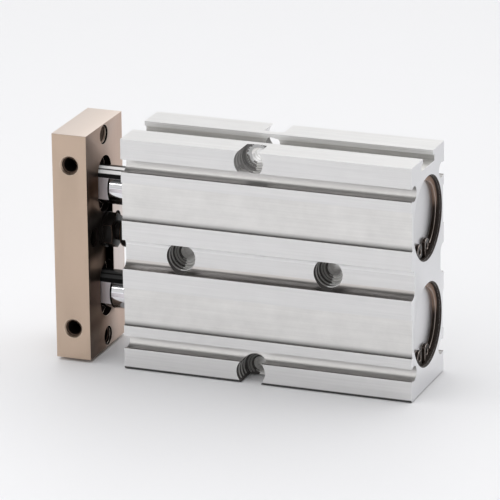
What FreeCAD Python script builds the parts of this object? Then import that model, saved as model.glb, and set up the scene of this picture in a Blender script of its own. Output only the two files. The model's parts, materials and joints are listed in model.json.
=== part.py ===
import FreeCAD, Part
import math
import os
import Sketcher

# Twin-rod guided pneumatic cylinder, standing on one narrow side.
# Frame: X along the rods (they extend towards -X), Y across the thin way, Z up.
# Origin: middle of the assembly's footprint, on the surface it stands on.

SIZES = [
    # extruded body
    ("body_height", 98.0),
    ("body_depth", 40.0),
    ("bore_pitch", 45.0),
    ("bore_dia", 32.0),
    ("seat_dia", 34.0),            # widened bore ends that take the covers
    ("front_seat", 26.0),
    ("rear_seat", 14.0),
    ("clip_groove_dia", 35.7),
    ("clip_edge", 1.8),            # wall between the end face and the circlip groove
    ("clip_slot", 1.6),
    ("clip_thick", 1.5),
    ("mouth_chamfer", 0.6),
    # grooves along the body
    ("slot_mouth", 12.4),
    ("slot_width", 16.0),
    ("slot_lip", 2.0),
    ("slot_depth", 4.7),
    ("sensor_inset", 11.3),        # from the narrow side to each sensor groove
    ("sensor_mouth", 5.4),
    ("sensor_lip", 1.3),
    ("sensor_depth", 6.2),
    ("sensor_radius", 3.2),
    ("recess_width", 16.2),
    ("recess_depth", 1.0),
    ("channel_width", 12.4),
    ("channel_depth", 4.0),
    ("channel_corner", 3.5),
    # mounting holes through the body
    ("hole_dia", 6.0),
    ("tap_dia", 12.4),
    ("tap_depth", 10.2),
    ("side_hole_place", 24.0),     # from the front face
    ("side_hole_spacing", 63.3),
    ("edge_hole_place", 55.2),     # from the front face
    ("edge_hole_inset", 4.5),      # from the narrow side
    # air ports in the back
    ("port_dia", 8.6),
    ("port_spot_dia", 13.0),
    ("port_floor", 6.0),           # height of the port's floor over the middle of the body
    ("port_spot_depth", 0.3),
    ("front_port_place", 10.5),
    ("rear_port_place", 12.0),     # from the rear face
    ("passage_dia", 3.0),
    ("passage_height", 8.0),
    # end plate
    ("plate_thick", 15.0),
    ("plate_height", 96.0),
    ("plate_depth", 38.0),
    ("plate_gap", 15.5),
    ("pocket_width", 14.1),
    ("pocket_length", 24.0),
    ("pocket_depth", 3.0),
    ("plate_tap_dia", 6.8),
    ("plate_tap_chamfer", 0.7),
    ("plate_tap_spacing", 87.0),
    ("plate_side_spacing", 70.0),
    ("plate_side_depth", 11.5),
    ("plate_mid_spacing", 24.0),
    ("screw_bore_dia", 8.5),
    ("screw_head_seat", 14.0),
    ("screw_seat_depth", 8.3),
    # rods and pistons
    ("stroke", 50.0),
    ("rod_dia", 16.0),
    ("rod_flats", 13.0),
    ("flat_length", 4.4),
    ("running_gap", 0.05),         # radial gap of every running fit
    ("end_gap", 0.5),              # left between piston and cover at each end of the stroke
    ("rod_hole_depth", 18.0),
    ("rod_drill_point", 2.0),
    ("rod_chamfer", 0.8),
    ("rod_screw_grip", 14.0),      # length of screw inside the rod
    ("rod_screw_socket", 6.0),
    ("rod_screw_socket_depth", 4.5),
    ("piston_length", 28.0),
    ("piston_dia", 31.4),
    ("wear_ring_place", 2.0),      # from the piston's front face, as the next two places are
    ("wear_ring_width", 5.0),
    ("wear_ring_depth", 1.6),
    ("magnet_place", 9.5),
    ("magnet_width", 5.0),
    ("magnet_depth", 3.2),
    ("piston_seal_place", 17.0),
    ("piston_seal_width", 4.2),
    ("piston_seal_depth", 3.0),
    ("nut_sink", 1.0),             # how far the piston nut lies under the rear face
    ("bumper_thick", 2.5),
    ("spigot_dia", 12.0),
    ("nut_flats", 19.0),
    ("nut_thick", 6.0),
    ("nut_recess_dia", 23.0),
    # covers and circlips
    ("bush_wall", 2.0),
    ("bush_shoulder", 1.5),
    ("rod_seal_wall", 4.0),
    ("rod_seal_width", 5.0),
    ("rod_exit_gap", 0.3),
    ("cover_ring_width", 2.0),
    ("cover_ring_depth", 1.8),
    ("front_ring_place", 1.6),     # from the cover's outer face
    ("rear_ring_place", 5.0),      # from the cover's inner face
    ("front_air_place", 4.9),
    ("front_air_width", 5.0),
    ("rear_air_place", 0.9),
    ("rear_air_width", 2.4),
    ("air_depth", 2.2),
    ("air_flute", 3.0),
    ("cover_chamfer", 0.5),
    ("clip_band", 2.9),
    ("clip_ear_dia", 6.4),
    ("clip_ear_spacing", 8.6),
    ("clip_ear_inset", 4.6),       # from the ring's outer edge
    ("clip_ear_hole", 2.5),
    ("clip_opening", 4.0),
    # stop between plate and body
    ("stop_rise", 3.0),            # over the middle of the body
    ("stop_thread", 8.0),
    ("stop_flats", 13.0),
    ("stop_nut_thick", 4.0),
    ("stop_washer_thick", 1.5),
    ("stop_washer_dia", 14.6),
    ("stop_head_thick", 3.0),
    ("stop_bumper_dia", 13.0),
    ("stop_bumper_thick", 4.0),
    ("stop_gap", 0.2),
]

doc = FreeCAD.newDocument("guided_cylinder")
sheet = doc.addObject("Spreadsheet::Sheet", "Sizes")
for row, (name, value) in enumerate(SIZES, start=1):
    sheet.set("A%d" % row, name)
    sheet.set("B%d" % row, str(value))
    sheet.setAlias("B%d" % row, name)
doc.recompute()


class Size:
    """A length that carries its value and the sheet expression that drives it."""

    def __init__(self, value, text):
        self.value = value
        self.text = text

    def combine(self, other, sign, value):
        return Size(value, "(%s %s %s)" % (self.text, sign, as_size(other).text))

    def __add__(self, other):
        return self.combine(other, "+", self.value + as_size(other).value)

    def __sub__(self, other):
        return self.combine(other, "-", self.value - as_size(other).value)

    def __mul__(self, factor):
        return self.combine(factor, "*", self.value * as_size(factor).value)

    def __truediv__(self, divisor):
        return self.combine(divisor, "/", self.value / as_size(divisor).value)

    def __neg__(self):
        return self * -1


def as_size(number):
    return number if isinstance(number, Size) else Size(float(number), repr(float(number)))


def cell(name):
    return Size(float(getattr(sheet, name)), "Sizes.%s" % name)


def bind(thing, path, length):
    thing.setExpression(path, as_size(length).text)


OVER = 1.0                  # how far a cutter runs past the face that it opens
HEX = math.tan(math.pi / 6) # half a hexagon's side over its apothem
SIDES = (("upper", 1), ("lower", -1))

body_length = (cell("front_seat") + cell("rear_seat") + cell("stroke") + cell("piston_length")
               + cell("bumper_thick") * 2 + cell("end_gap") * 2)
body_front = (cell("plate_thick") + cell("plate_gap") - body_length) / 2
plate_outer = body_front - cell("plate_gap") - cell("plate_thick")
plate_inner = body_front - cell("plate_gap")
middle = cell("body_height") / 2


def axis_height(sign):
    return middle + cell("bore_pitch") / 2 * sign


# ---------------------------------------------------------------- sketch helpers

def new_body(label, x, z):
    body = doc.addObject("PartDesign::Body", label)
    body.Label = label
    bind(body, ".Placement.Base.x", x)
    bind(body, ".Placement.Base.z", z)
    return body


def new_sketch(body, role, name, shift=(0, 0, 0)):
    """A sketch on one of the body's own origin planes, moved by shift in the plane's own axes."""
    plane = [item for item in body.Origin.OriginFeatures if item.Role == role][0]
    sketch = body.newObject("Sketcher::SketchObject", name)
    sketch.AttachmentSupport = (plane, [""])
    sketch.MapMode = "FlatFace"
    for axis, length in zip("xyz", shift):
        if as_size(length).value != 0:
            bind(sketch, ".AttachmentOffset.Base.%s" % axis, length)
    return sketch


def pin(sketch, geometry, end, x, y):
    """Hold one point of a sketch at x, y from its origin, driven by the sheet."""
    for kind, axis, length in (("DistanceX", -2, as_size(x)), ("DistanceY", -1, as_size(y))):
        if length.value == 0:
            sketch.addConstraint(Sketcher.Constraint("PointOnObject", geometry, end, axis))
        else:
            rule = Sketcher.Constraint(kind, -1, 1, geometry, end, length.value)
            index = sketch.addConstraint(rule)
            bind(sketch, "Constraints[%d]" % index, length)


def arc_between(start, end, bend):
    """The shorter arc from start to end; a positive bend turns left, a negative one right."""
    chord = end - start
    half = chord.Length / 2
    left = FreeCAD.Vector(-chord.y, chord.x, 0).normalize()
    reach = math.sqrt(max(bend * bend - half * half, 0))
    centre = (start + end) / 2 + left * math.copysign(reach, bend)
    first, last = (start, end) if bend > 0 else (end, start)
    angles = [math.atan2(point.y - centre.y, point.x - centre.x) for point in (first, last)]
    circle = Part.Circle(centre, FreeCAD.Vector(0, 0, 1), abs(bend))
    return Part.ArcOfCircle(circle, angles[0], angles[1])


def outline(sketch, points):
    """A closed outline. A point is (x, y), or (x, y, bend) where an arc leads to the next one."""
    corners = [FreeCAD.Vector(as_size(p[0]).value, as_size(p[1]).value, 0) for p in points]
    starts = []
    ends = []
    for index, point in enumerate(points):
        start = corners[index]
        end = corners[(index + 1) % len(points)]
        if len(point) == 2:
            geometry = sketch.addGeometry(Part.LineSegment(start, end))
            turned_over = False
        else:
            bend = as_size(point[2])
            geometry = sketch.addGeometry(arc_between(start, end, bend.value))
            turned_over = bend.value < 0
            rule = sketch.addConstraint(Sketcher.Constraint("Radius", geometry, abs(bend.value)))
            bind(sketch, "Constraints[%d]" % rule, -bend if turned_over else bend)
        starts.append((geometry, 2 if turned_over else 1))
        ends.append((geometry, 1 if turned_over else 2))
    for index, point in enumerate(points):
        following = starts[(index + 1) % len(points)]
        sketch.addConstraint(Sketcher.Constraint("Coincident", *ends[index], *following))
        pin(sketch, *starts[index], point[0], point[1])


def circle(sketch, x, y, diameter):
    centre = FreeCAD.Vector(as_size(x).value, as_size(y).value, 0)
    ring = Part.Circle(centre, FreeCAD.Vector(0, 0, 1), diameter.value / 2)
    geometry = sketch.addGeometry(ring)
    rule = sketch.addConstraint(Sketcher.Constraint("Diameter", geometry, diameter.value))
    bind(sketch, "Constraints[%d]" % rule, diameter)
    pin(sketch, geometry, 3, x, y)


def rectangle(sketch, left, bottom, right, top):
    outline(sketch, [(left, bottom), (right, bottom), (right, top), (left, top)])


def hexagon(sketch, x, y, flats):
    """A hexagon with two flats facing along the sketch's x."""
    reach = flats / 2
    corner = reach * HEX
    tip = corner * 2
    outline(sketch, [(as_size(x) + reach, as_size(y) - corner),
                     (as_size(x) + reach, as_size(y) + corner),
                     (x, as_size(y) + tip),
                     (as_size(x) - reach, as_size(y) + corner),
                     (as_size(x) - reach, as_size(y) - corner),
                     (x, as_size(y) - tip)])


# ---------------------------------------------------------------- feature helpers

def pad(body, sketch, length):
    feature = body.newObject("PartDesign::Pad", "%s_pad" % sketch.Name)
    feature.Profile = sketch
    bind(feature, "Length", length)
    return feature


def pocket(body, sketch, length, through=False, midplane=False, reverse=False):
    feature = body.newObject("PartDesign::Pocket", "%s_pocket" % sketch.Name)
    feature.Profile = sketch
    if through:
        feature.Type = "ThroughAll"
    else:
        bind(feature, "Length", length)
    feature.Midplane = midplane
    feature.Reversed = reverse
    return feature


def turn(body, sketch, axis, cut=False):
    """Turn a profile a full circle about the sketch's own H_Axis or V_Axis."""
    kind = "Groove" if cut else "Revolution"
    feature = body.newObject("PartDesign::%s" % kind, "%s_turn" % sketch.Name)
    feature.Profile = sketch
    feature.ReferenceAxis = (sketch, [axis])
    feature.Angle = 360
    return feature


def turned_piece(label, x, z, profile):
    """A round piece about X: the profile lists (distance from x, radius)."""
    body = new_body(label, x, z)
    sketch = new_sketch(body, "XZ_Plane", "%s_profile" % label)
    outline(sketch, profile)
    turn(body, sketch, "H_Axis")
    return body


def ring_piece(label, x, z, width, inner, outer, soften):
    """A ring with softened corners that fills the width of its groove."""
    return turned_piece(label, x, z, [
        (0, inner + soften), (soften, inner), (width - soften, inner), (width, inner + soften),
        (width, outer - soften), (width - soften, outer), (soften, outer), (0, outer - soften)])


# ---------------------------------------------------------------- extruded body

def body_section(body):
    depth = cell("body_depth") / 2
    sketch = new_sketch(body, "YZ_Plane", "section")
    rectangle(sketch, -depth, -middle, depth, middle)
    pad(body, sketch, body_length)


def body_slot(body):
    """T-slot along the upper narrow side; the lower narrow side stays plain."""
    mouth = cell("slot_mouth") / 2
    wide = cell("slot_width") / 2
    lip = middle - cell("slot_lip")
    floor = middle - cell("slot_depth")
    sketch = new_sketch(body, "YZ_Plane", "slot")
    outline(sketch, [(-mouth, middle + OVER), (-mouth, lip), (-wide, lip), (-wide, floor),
                     (wide, floor), (wide, lip), (mouth, lip), (mouth, middle + OVER)])
    pocket(body, sketch, None, through=True, reverse=True)


def body_sensor_grooves(body):
    """Round undercut grooves that hold the position sensors, four in all."""
    depth = cell("body_depth") / 2
    half_mouth = cell("sensor_mouth") / 2
    sketch = new_sketch(body, "YZ_Plane", "sensor_grooves")
    for face in (1, -1):
        for level in (1, -1):
            bend = cell("sensor_radius") * (face * level)
            mid = (middle - cell("sensor_inset")) * level
            low = mid - half_mouth * level
            high = mid + half_mouth * level
            outer = (depth + OVER) * face
            lip = (depth - cell("sensor_lip")) * face
            floor = (depth - cell("sensor_depth")) * face
            outline(sketch, [(outer, high), (lip, high, bend), (floor, mid, bend),
                             (lip, low), (outer, low)])
    pocket(body, sketch, None, through=True, reverse=True)


def body_recesses(body):
    """Shallow flats in front of each bore."""
    depth = cell("body_depth") / 2
    half = cell("recess_width") / 2
    sketch = new_sketch(body, "YZ_Plane", "recesses")
    for face in (1, -1):
        for level in (1, -1):
            mid = cell("bore_pitch") / 2 * level
            rectangle(sketch, (depth + OVER) * face, mid - half,
                      (depth - cell("recess_depth")) * face, mid + half)
    pocket(body, sketch, None, through=True, reverse=True)


def body_channels(body):
    """Wide channels between the bores, with round corners at the bottom."""
    depth = cell("body_depth") / 2
    half = cell("channel_width") / 2
    corner = cell("channel_corner")
    sketch = new_sketch(body, "YZ_Plane", "channels")
    for face in (1, -1):
        outer = (depth + OVER) * face
        floor = (depth - cell("channel_depth")) * face
        wall = (depth - cell("channel_depth") + corner) * face
        flat = half - corner
        outline(sketch, [(outer, half), (wall, half, corner * face), (floor, flat),
                         (floor, -flat, corner * face), (wall, -half), (outer, -half)])
    pocket(body, sketch, None, through=True, reverse=True)


def body_bore(body, side, sign):
    """One bore from end to end, with cover seats and circlip grooves."""
    length = body_length
    bore = cell("bore_dia") / 2
    seat = cell("seat_dia") / 2
    groove = cell("clip_groove_dia") / 2
    edge = cell("clip_edge")
    slot = edge + cell("clip_slot")
    chamfer = cell("mouth_chamfer")
    sketch = new_sketch(body, "XZ_Plane", "%s_bore" % side, (0, cell("bore_pitch") / 2 * sign, 0))
    outline(sketch, [
        (-OVER, 0), (-OVER, seat + chamfer), (0, seat + chamfer), (chamfer, seat),
        (edge, seat), (edge, groove), (slot, groove), (slot, seat),
        (cell("front_seat"), seat), (cell("front_seat"), bore),
        (length - cell("rear_seat"), bore), (length - cell("rear_seat"), seat),
        (length - slot, seat), (length - slot, groove), (length - edge, groove), (length - edge, seat),
        (length - chamfer, seat), (length, seat + chamfer), (length + OVER, seat + chamfer),
        (length + OVER, 0)])
    turn(body, sketch, "H_Axis", cut=True)


def body_mount_hole(body, name, x, z):
    """A hole right through the thin way, tapped from both faces."""
    depth = cell("body_depth") / 2
    hole = cell("hole_dia") / 2
    tap = cell("tap_dia") / 2
    shoulder = depth - cell("tap_depth")
    cone = shoulder - (tap - hole) / 2
    sketch = new_sketch(body, "XY_Plane", name, (x, 0, z))
    outline(sketch, [(0, -depth - OVER), (tap, -depth - OVER), (tap, -shoulder), (hole, -cone),
                     (hole, cone), (tap, shoulder), (tap, depth + OVER), (0, depth + OVER)])
    turn(body, sketch, "V_Axis", cut=True)


def body_port(body, name, x):
    """A tapped air port in the back channel, and the passage that joins it to both bores."""
    depth = cell("body_depth") / 2
    port = cell("port_dia") / 2
    spot = cell("port_spot_dia") / 2
    seat = depth - cell("channel_depth") - cell("port_spot_depth")
    sketch = new_sketch(body, "XY_Plane", "%s_port" % name, (x, 0, 0))
    outline(sketch, [(0, cell("port_floor")), (port, cell("port_floor")), (port, seat),
                     (spot, seat), (spot, depth + OVER), (0, depth + OVER)])
    turn(body, sketch, "V_Axis", cut=True)
    passage = new_sketch(body, "XY_Plane", "%s_passage" % name)
    circle(passage, x, cell("passage_height"), cell("passage_dia"))
    pocket(body, passage, cell("bore_pitch") / 2, midplane=True)


def build_body():
    body = new_body("body", body_front, middle)
    body_section(body)
    body_slot(body)
    body_sensor_grooves(body)
    body_recesses(body)
    body_channels(body)
    for side, sign in SIDES:
        body_bore(body, side, sign)
    place = cell("side_hole_place")
    body_mount_hole(body, "front_hole", place, 0)
    body_mount_hole(body, "rear_hole", place + cell("side_hole_spacing"), 0)
    for side, sign in SIDES:
        level = (middle - cell("edge_hole_inset")) * sign
        body_mount_hole(body, "%s_hole" % side, cell("edge_hole_place"), level)
    body_port(body, "front", cell("front_port_place"))
    body_port(body, "rear", body_length - cell("rear_port_place"))


# ---------------------------------------------------------------- covers and circlips

def cover_flutes(body, length, start):
    """Slots in the cover's rim that let air past its inner end."""
    reach = cell("seat_dia") / 2
    half = cell("air_flute") / 2
    floor = reach - cell("air_depth")
    sketch = new_sketch(body, "YZ_Plane", "%s_flutes" % body.Name, (0, 0, start))
    rectangle(sketch, -half, floor, half, reach + OVER)
    rectangle(sketch, -half, -reach - OVER, half, -floor)
    rectangle(sketch, floor, -half, reach + OVER, half)
    rectangle(sketch, -reach - OVER, -half, -floor, half)
    pocket(body, sketch, length - start, reverse=True)


def build_front_cover(side, sign):
    """Guide for the rod: bush, rod seal and outer ring sit in it."""
    z = axis_height(sign)
    gap = cell("running_gap")
    start = cell("clip_edge") + cell("clip_thick")
    length = cell("front_seat") - start
    rim = cell("seat_dia") / 2 - gap
    rod = cell("rod_dia") / 2 + gap
    exit_radius = rod + cell("rod_exit_gap")
    bush = rod + cell("bush_wall")
    seal = rod + cell("rod_seal_wall")
    seal_width = cell("rod_seal_width")
    bush_end = length - cell("bush_shoulder")
    groove = rim - cell("cover_ring_depth")
    ring_at = cell("front_ring_place")
    ring_end = ring_at + cell("cover_ring_width")
    air_at = cell("front_air_place")
    air_end = air_at + cell("front_air_width")
    air = rim - cell("air_depth")
    cover = turned_piece("front_cover_%s" % side, body_front + start, z, [
        (0, seal), (seal_width, seal), (seal_width, bush), (bush_end, bush), (bush_end, exit_radius),
        (length, exit_radius), (length, rim), (air_end, rim), (air_end, air), (air_at, air),
        (air_at, rim), (ring_end, rim), (ring_end, groove), (ring_at, groove), (ring_at, rim),
        (0, rim)])
    cover_flutes(cover, length, air_end)
    ring_piece("rod_seal_%s" % side, body_front + start, z, seal_width, rod, seal - gap, 0.4)
    ring_piece("rod_bush_%s" % side, body_front + start + seal_width, z,
               bush_end - seal_width, rod, bush - gap, 0.2)
    ring_piece("front_cover_ring_%s" % side, body_front + start + ring_at, z,
               cell("cover_ring_width"), groove + gap, rim, 0.5)


def build_rear_cover(side, sign):
    """Plug that closes the rear of a bore."""
    z = axis_height(sign)
    gap = cell("running_gap")
    length = cell("rear_seat") - cell("clip_edge") - cell("clip_thick")
    start = body_front + body_length - cell("rear_seat")
    rim = cell("seat_dia") / 2 - gap
    air_at = cell("rear_air_place")
    air_end = air_at + cell("rear_air_width")
    air = rim - cell("air_depth")
    ring_at = cell("rear_ring_place")
    ring_end = ring_at + cell("cover_ring_width")
    groove = rim - cell("cover_ring_depth")
    chamfer = cell("cover_chamfer")
    cover = turned_piece("rear_cover_%s" % side, start, z, [
        (0, 0), (length, 0), (length, rim - chamfer), (length - chamfer, rim), (ring_end, rim),
        (ring_end, groove),
        (ring_at, groove), (ring_at, rim), (air_end, rim), (air_end, air), (air_at, air),
        (air_at, rim), (0, rim)])
    cover_flutes(cover, air_at, as_size(0))
    ring_piece("rear_cover_ring_%s" % side, start + ring_at, z, cell("cover_ring_width"),
               groove + gap, rim, 0.5)


def build_circlip(label, x, z):
    """Internal circlip: an open ring with two pierced ears beside the gap."""
    outer = cell("clip_groove_dia") / 2 - cell("running_gap")
    inner = outer - cell("clip_band")
    ear = cell("clip_ear_dia")
    ear_hole = cell("clip_ear_hole")
    ear_at = cell("clip_ear_spacing") / 2
    ear_height = cell("clip_ear_inset") - outer
    half_gap = cell("clip_opening") / 2
    body = new_body(label, x, z)
    ring = new_sketch(body, "YZ_Plane", "%s_ring" % label)
    circle(ring, 0, 0, outer * 2)
    circle(ring, 0, 0, inner * 2)
    pad(body, ring, cell("clip_thick"))
    ears = new_sketch(body, "YZ_Plane", "%s_ears" % label)
    circle(ears, ear_at, ear_height, ear)
    circle(ears, -ear_at, ear_height, ear)
    pad(body, ears, cell("clip_thick"))
    gap = new_sketch(body, "YZ_Plane", "%s_gap" % label)
    rectangle(gap, -half_gap, -outer - OVER, half_gap, ear_height + ear / 2 + OVER)
    pocket(body, gap, None, through=True, reverse=True)
    holes = new_sketch(body, "YZ_Plane", "%s_holes" % label)
    circle(holes, ear_at, ear_height, ear_hole)
    circle(holes, -ear_at, ear_height, ear_hole)
    pocket(body, holes, None, through=True, reverse=True)


# ---------------------------------------------------------------- end plate

def build_end_plate():
    thick = cell("plate_thick")
    height = cell("plate_height") / 2
    depth = cell("plate_depth") / 2
    body = new_body("end_plate", plate_outer, middle)
    block = new_sketch(body, "YZ_Plane", "plate_block")
    rectangle(block, -depth, -height, depth, height)
    pad(body, block, thick)
    plate_pockets(body, thick)
    for side, sign in SIDES:
        plate_screw_seat(body, side, sign)
        plate_tapped_hole(body, "%s_end_tap" % side, 0, cell("plate_tap_spacing") / 2 * sign)
        plate_side_taps(body, side, sign)
    for name, sign in (("near", -1), ("far", 1)):
        plate_tapped_hole(body, "%s_mid_tap" % name, cell("plate_mid_spacing") / 2 * sign,
                          cell("stop_rise"))
    stop = new_sketch(body, "YZ_Plane", "stop_hole")
    circle(stop, 0, cell("stop_rise"), cell("stop_thread") + cell("running_gap") * 2)
    pocket(body, stop, None, through=True, reverse=True)


def plate_pockets(body, thick):
    """Long pockets that hold the rods by their flats and let their distance adjust."""
    half = cell("pocket_width") / 2
    straight = cell("pocket_length") / 2 - half
    tip = cell("pocket_length") / 2
    sketch = new_sketch(body, "YZ_Plane", "rod_pockets", (0, 0, thick))
    for side, sign in SIDES:
        mid = cell("bore_pitch") / 2 * sign
        outline(sketch, [(half, mid - straight), (half, mid + straight, half), (0, mid + tip, half),
                         (-half, mid + straight), (-half, mid - straight, half),
                         (0, mid - tip, half)])
    pocket(body, sketch, cell("pocket_depth"))


def plate_screw_seat(body, side, sign):
    """Stepped hole for the screw that clamps a rod."""
    head = cell("screw_head_seat") / 2
    hole = cell("screw_bore_dia") / 2
    sketch = new_sketch(body, "XZ_Plane", "%s_screw_seat" % side, (0, cell("bore_pitch") / 2 * sign, 0))
    outline(sketch, [(-OVER, 0), (-OVER, head), (cell("screw_seat_depth"), head),
                     (cell("screw_seat_depth"), hole), (cell("plate_thick"), hole),
                     (cell("plate_thick"), 0)])
    turn(body, sketch, "H_Axis", cut=True)


def plate_tapped_hole(body, name, y, z):
    """A tapped hole right through the plate with both mouths chamfered."""
    thick = cell("plate_thick")
    hole = cell("plate_tap_dia") / 2
    chamfer = cell("plate_tap_chamfer")
    sketch = new_sketch(body, "XZ_Plane", name, (0, z, -as_size(y)))
    outline(sketch, [(-OVER, 0), (-OVER, hole + chamfer), (0, hole + chamfer), (chamfer, hole),
                     (thick - chamfer, hole), (thick, hole + chamfer), (thick + OVER, hole + chamfer),
                     (thick + OVER, 0)])
    turn(body, sketch, "H_Axis", cut=True)


def plate_side_taps(body, side, sign):
    """Blind tapped holes in both narrow sides, in the middle of the plate's thickness."""
    depth = cell("plate_depth") / 2
    hole = cell("plate_tap_dia") / 2
    chamfer = cell("plate_tap_chamfer")
    floor = depth - cell("plate_side_depth")
    level = cell("plate_side_spacing") / 2 * sign
    for name, face in (("near", -1), ("far", 1)):
        sketch = new_sketch(body, "XY_Plane", "%s_%s_tap" % (side, name),
                            (cell("plate_thick") / 2, 0, level))
        outline(sketch, [(0, (floor - hole / 2) * face), (hole, floor * face),
                         (hole, (depth - chamfer) * face), (hole + chamfer, depth * face),
                         (hole + chamfer, (depth + OVER) * face), (0, (depth + OVER) * face)])
        turn(body, sketch, "V_Axis", cut=True)


# ---------------------------------------------------------------- rods and pistons

def piston_front():
    """Front face of the piston's metal, measured from the body's front face."""
    return cell("front_seat") + cell("end_gap") + cell("stroke") + cell("bumper_thick")


def piston_rear():
    return piston_front() + cell("piston_length")


def build_rod(side, sign):
    z = axis_height(sign)
    radius = cell("rod_dia") / 2
    spigot = cell("spigot_dia") / 2
    start = plate_inner - cell("pocket_depth")
    shoulder = cell("plate_gap") + cell("pocket_depth") + piston_front()
    tip = cell("plate_gap") + cell("pocket_depth") + piston_rear() - cell("nut_sink") / 2
    screw = cell("stop_thread") / 2 + cell("running_gap")
    depth = cell("rod_hole_depth")
    chamfer = cell("rod_chamfer")
    body = turned_piece("piston_rod_%s" % side, start, z, [
        (0, screw), (depth, screw), (depth + cell("rod_drill_point"), 0), (tip, 0),
        (tip, spigot - chamfer), (tip - chamfer, spigot),
        (shoulder, spigot), (shoulder, radius), (chamfer, radius), (0, radius - chamfer)])
    flats = new_sketch(body, "YZ_Plane", "%s_flats" % side)
    half = cell("rod_flats") / 2
    for face in (1, -1):
        rectangle(flats, half * face, -radius - OVER, (radius + OVER) * face, radius + OVER)
    pocket(body, flats, cell("pocket_depth") + cell("flat_length"), reverse=True)


def build_piston(side, sign):
    """Piston with its guide ring, magnet, seal, end bumpers and nut."""
    z = axis_height(sign)
    gap = cell("running_gap")
    rim = cell("piston_dia") / 2
    bore = cell("bore_dia") / 2 - gap
    spigot = cell("spigot_dia") / 2 + gap
    nut_radius = cell("nut_recess_dia") / 2
    start = body_front + piston_front()
    length = cell("piston_length")
    recess = length - cell("nut_thick") - cell("nut_sink")
    wear, magnet, seal = [
        (cell(name + "_place"), cell(name + "_width"), rim - cell(name + "_depth"))
        for name in ("wear_ring", "magnet", "piston_seal")]
    profile = [(0, spigot), (0, rim)]
    for at, width, floor in (wear, magnet, seal):
        profile += [(at, rim), (at, floor), (at + width, floor), (at + width, rim)]
    profile += [(length, rim), (length, nut_radius), (recess, nut_radius), (recess, spigot)]
    turned_piece("piston_%s" % side, start, z, profile)
    ring_piece("wear_ring_%s" % side, start + wear[0], z, wear[1], wear[2] + gap, bore, 0.2)
    ring_piece("magnet_ring_%s" % side, start + magnet[0], z, magnet[1], magnet[2] + gap, rim, 0.2)
    ring_piece("piston_seal_%s" % side, start + seal[0], z, seal[1], seal[2] + gap, bore, 0.5)
    thick = cell("bumper_thick")
    ring_piece("front_bumper_%s" % side, start - thick, z, thick, cell("rod_dia") / 2 + gap,
               rim - 1.5, 0.5)
    ring_piece("rear_bumper_%s" % side, start + length, z, thick, nut_radius, rim - 1.5, 0.5)
    hex_nut("piston_nut_%s" % side, start + recess, z, cell("nut_flats"), cell("nut_thick"), spigot)


def hex_nut(label, x, z, flats, thick, bore):
    """Hexagon nut with its corners turned off at the outer end."""
    body = new_body(label, x, z)
    block = new_sketch(body, "YZ_Plane", "%s_hexagon" % label)
    hexagon(block, 0, 0, flats)
    circle(block, 0, 0, bore * 2)
    pad(body, block, thick)
    corner = flats * HEX
    trim = new_sketch(body, "XZ_Plane", "%s_trim" % label)
    outline(trim, [(thick + OVER, flats / 2 - 0.3), (thick, flats / 2 - 0.3),
                   (thick - (corner - flats / 2) / 2, corner + 0.3), (thick + OVER, corner + 0.3)])
    turn(body, trim, "H_Axis", cut=True)
    return body


def build_rod_screw(side, sign):
    """Socket head screw that clamps the plate to a rod."""
    head = cell("screw_head_seat") / 2 - 0.5
    shank = cell("stop_thread") / 2
    seat = cell("screw_seat_depth")
    head_length = seat - 0.3
    tip = cell("plate_thick") - cell("pocket_depth") + cell("rod_screw_grip")
    body = turned_piece("rod_screw_%s" % side, plate_outer, axis_height(sign), [
        (seat - head_length, 0), (seat - head_length, head - 0.5), (seat - head_length + 0.5, head),
        (seat, head), (seat, shank), (tip - 0.8, shank), (tip, shank - 0.8), (tip, 0)])
    socket = new_sketch(body, "YZ_Plane", "%s_socket" % side)
    hexagon(socket, 0, 0, cell("rod_screw_socket"))
    pocket(body, socket, cell("rod_screw_socket_depth"), reverse=True)


# ---------------------------------------------------------------- stop

def build_stop():
    """Adjustable stop: screw through the plate, washer, lock nut and soft bumper."""
    z = middle + cell("stop_rise")
    thread = cell("stop_thread") / 2
    gap = cell("running_gap")
    washer = cell("stop_washer_thick")
    ring_piece("stop_washer", plate_inner, z, washer, thread + gap, cell("stop_washer_dia") / 2, 0.2)
    hex_nut("stop_lock_nut", plate_inner + washer, z, cell("stop_flats"), cell("stop_nut_thick"),
            thread + gap)
    bumper_at = body_front - cell("stop_gap") - cell("stop_bumper_thick")
    head_at = bumper_at - cell("stop_head_thick")
    tip = cell("plate_thick") + cell("plate_gap") - cell("stop_gap") - cell("stop_bumper_thick")
    shoulder = tip - cell("stop_head_thick")
    head = cell("stop_bumper_dia") / 2
    turned_piece("stop_screw", plate_outer, z, [
        (1.0, 0), (1.0, thread - 0.8), (1.8, thread), (shoulder, thread), (shoulder, head - 0.4),
        (shoulder + 0.4, head), (tip, head), (tip, 0)])
    ring = head - 0.2
    turned_piece("stop_bumper", head_at + cell("stop_head_thick"), z, [
        (0, 0), (0, ring), (cell("stop_bumper_thick") - 1, ring), (cell("stop_bumper_thick"), ring - 1),
        (cell("stop_bumper_thick"), 0)])


# ---------------------------------------------------------------- assembly

build_body()
build_end_plate()
build_stop()
for side_name, side_sign in SIDES:
    height = axis_height(side_sign)
    build_front_cover(side_name, side_sign)
    build_rear_cover(side_name, side_sign)
    build_circlip("front_circlip_%s" % side_name, body_front + cell("clip_edge"), height)
    rear_edge = body_front + body_length - cell("clip_edge") - cell("clip_thick")
    build_circlip("rear_circlip_%s" % side_name, rear_edge, height)
    build_rod(side_name, side_sign)
    build_piston(side_name, side_sign)
    build_rod_screw(side_name, side_sign)
doc.recompute()

for item in doc.Objects:
    if "Invalid" in item.State or "Error" in item.State:
        raise RuntimeError("%s failed: %s" % (item.Label, item.State))

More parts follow.
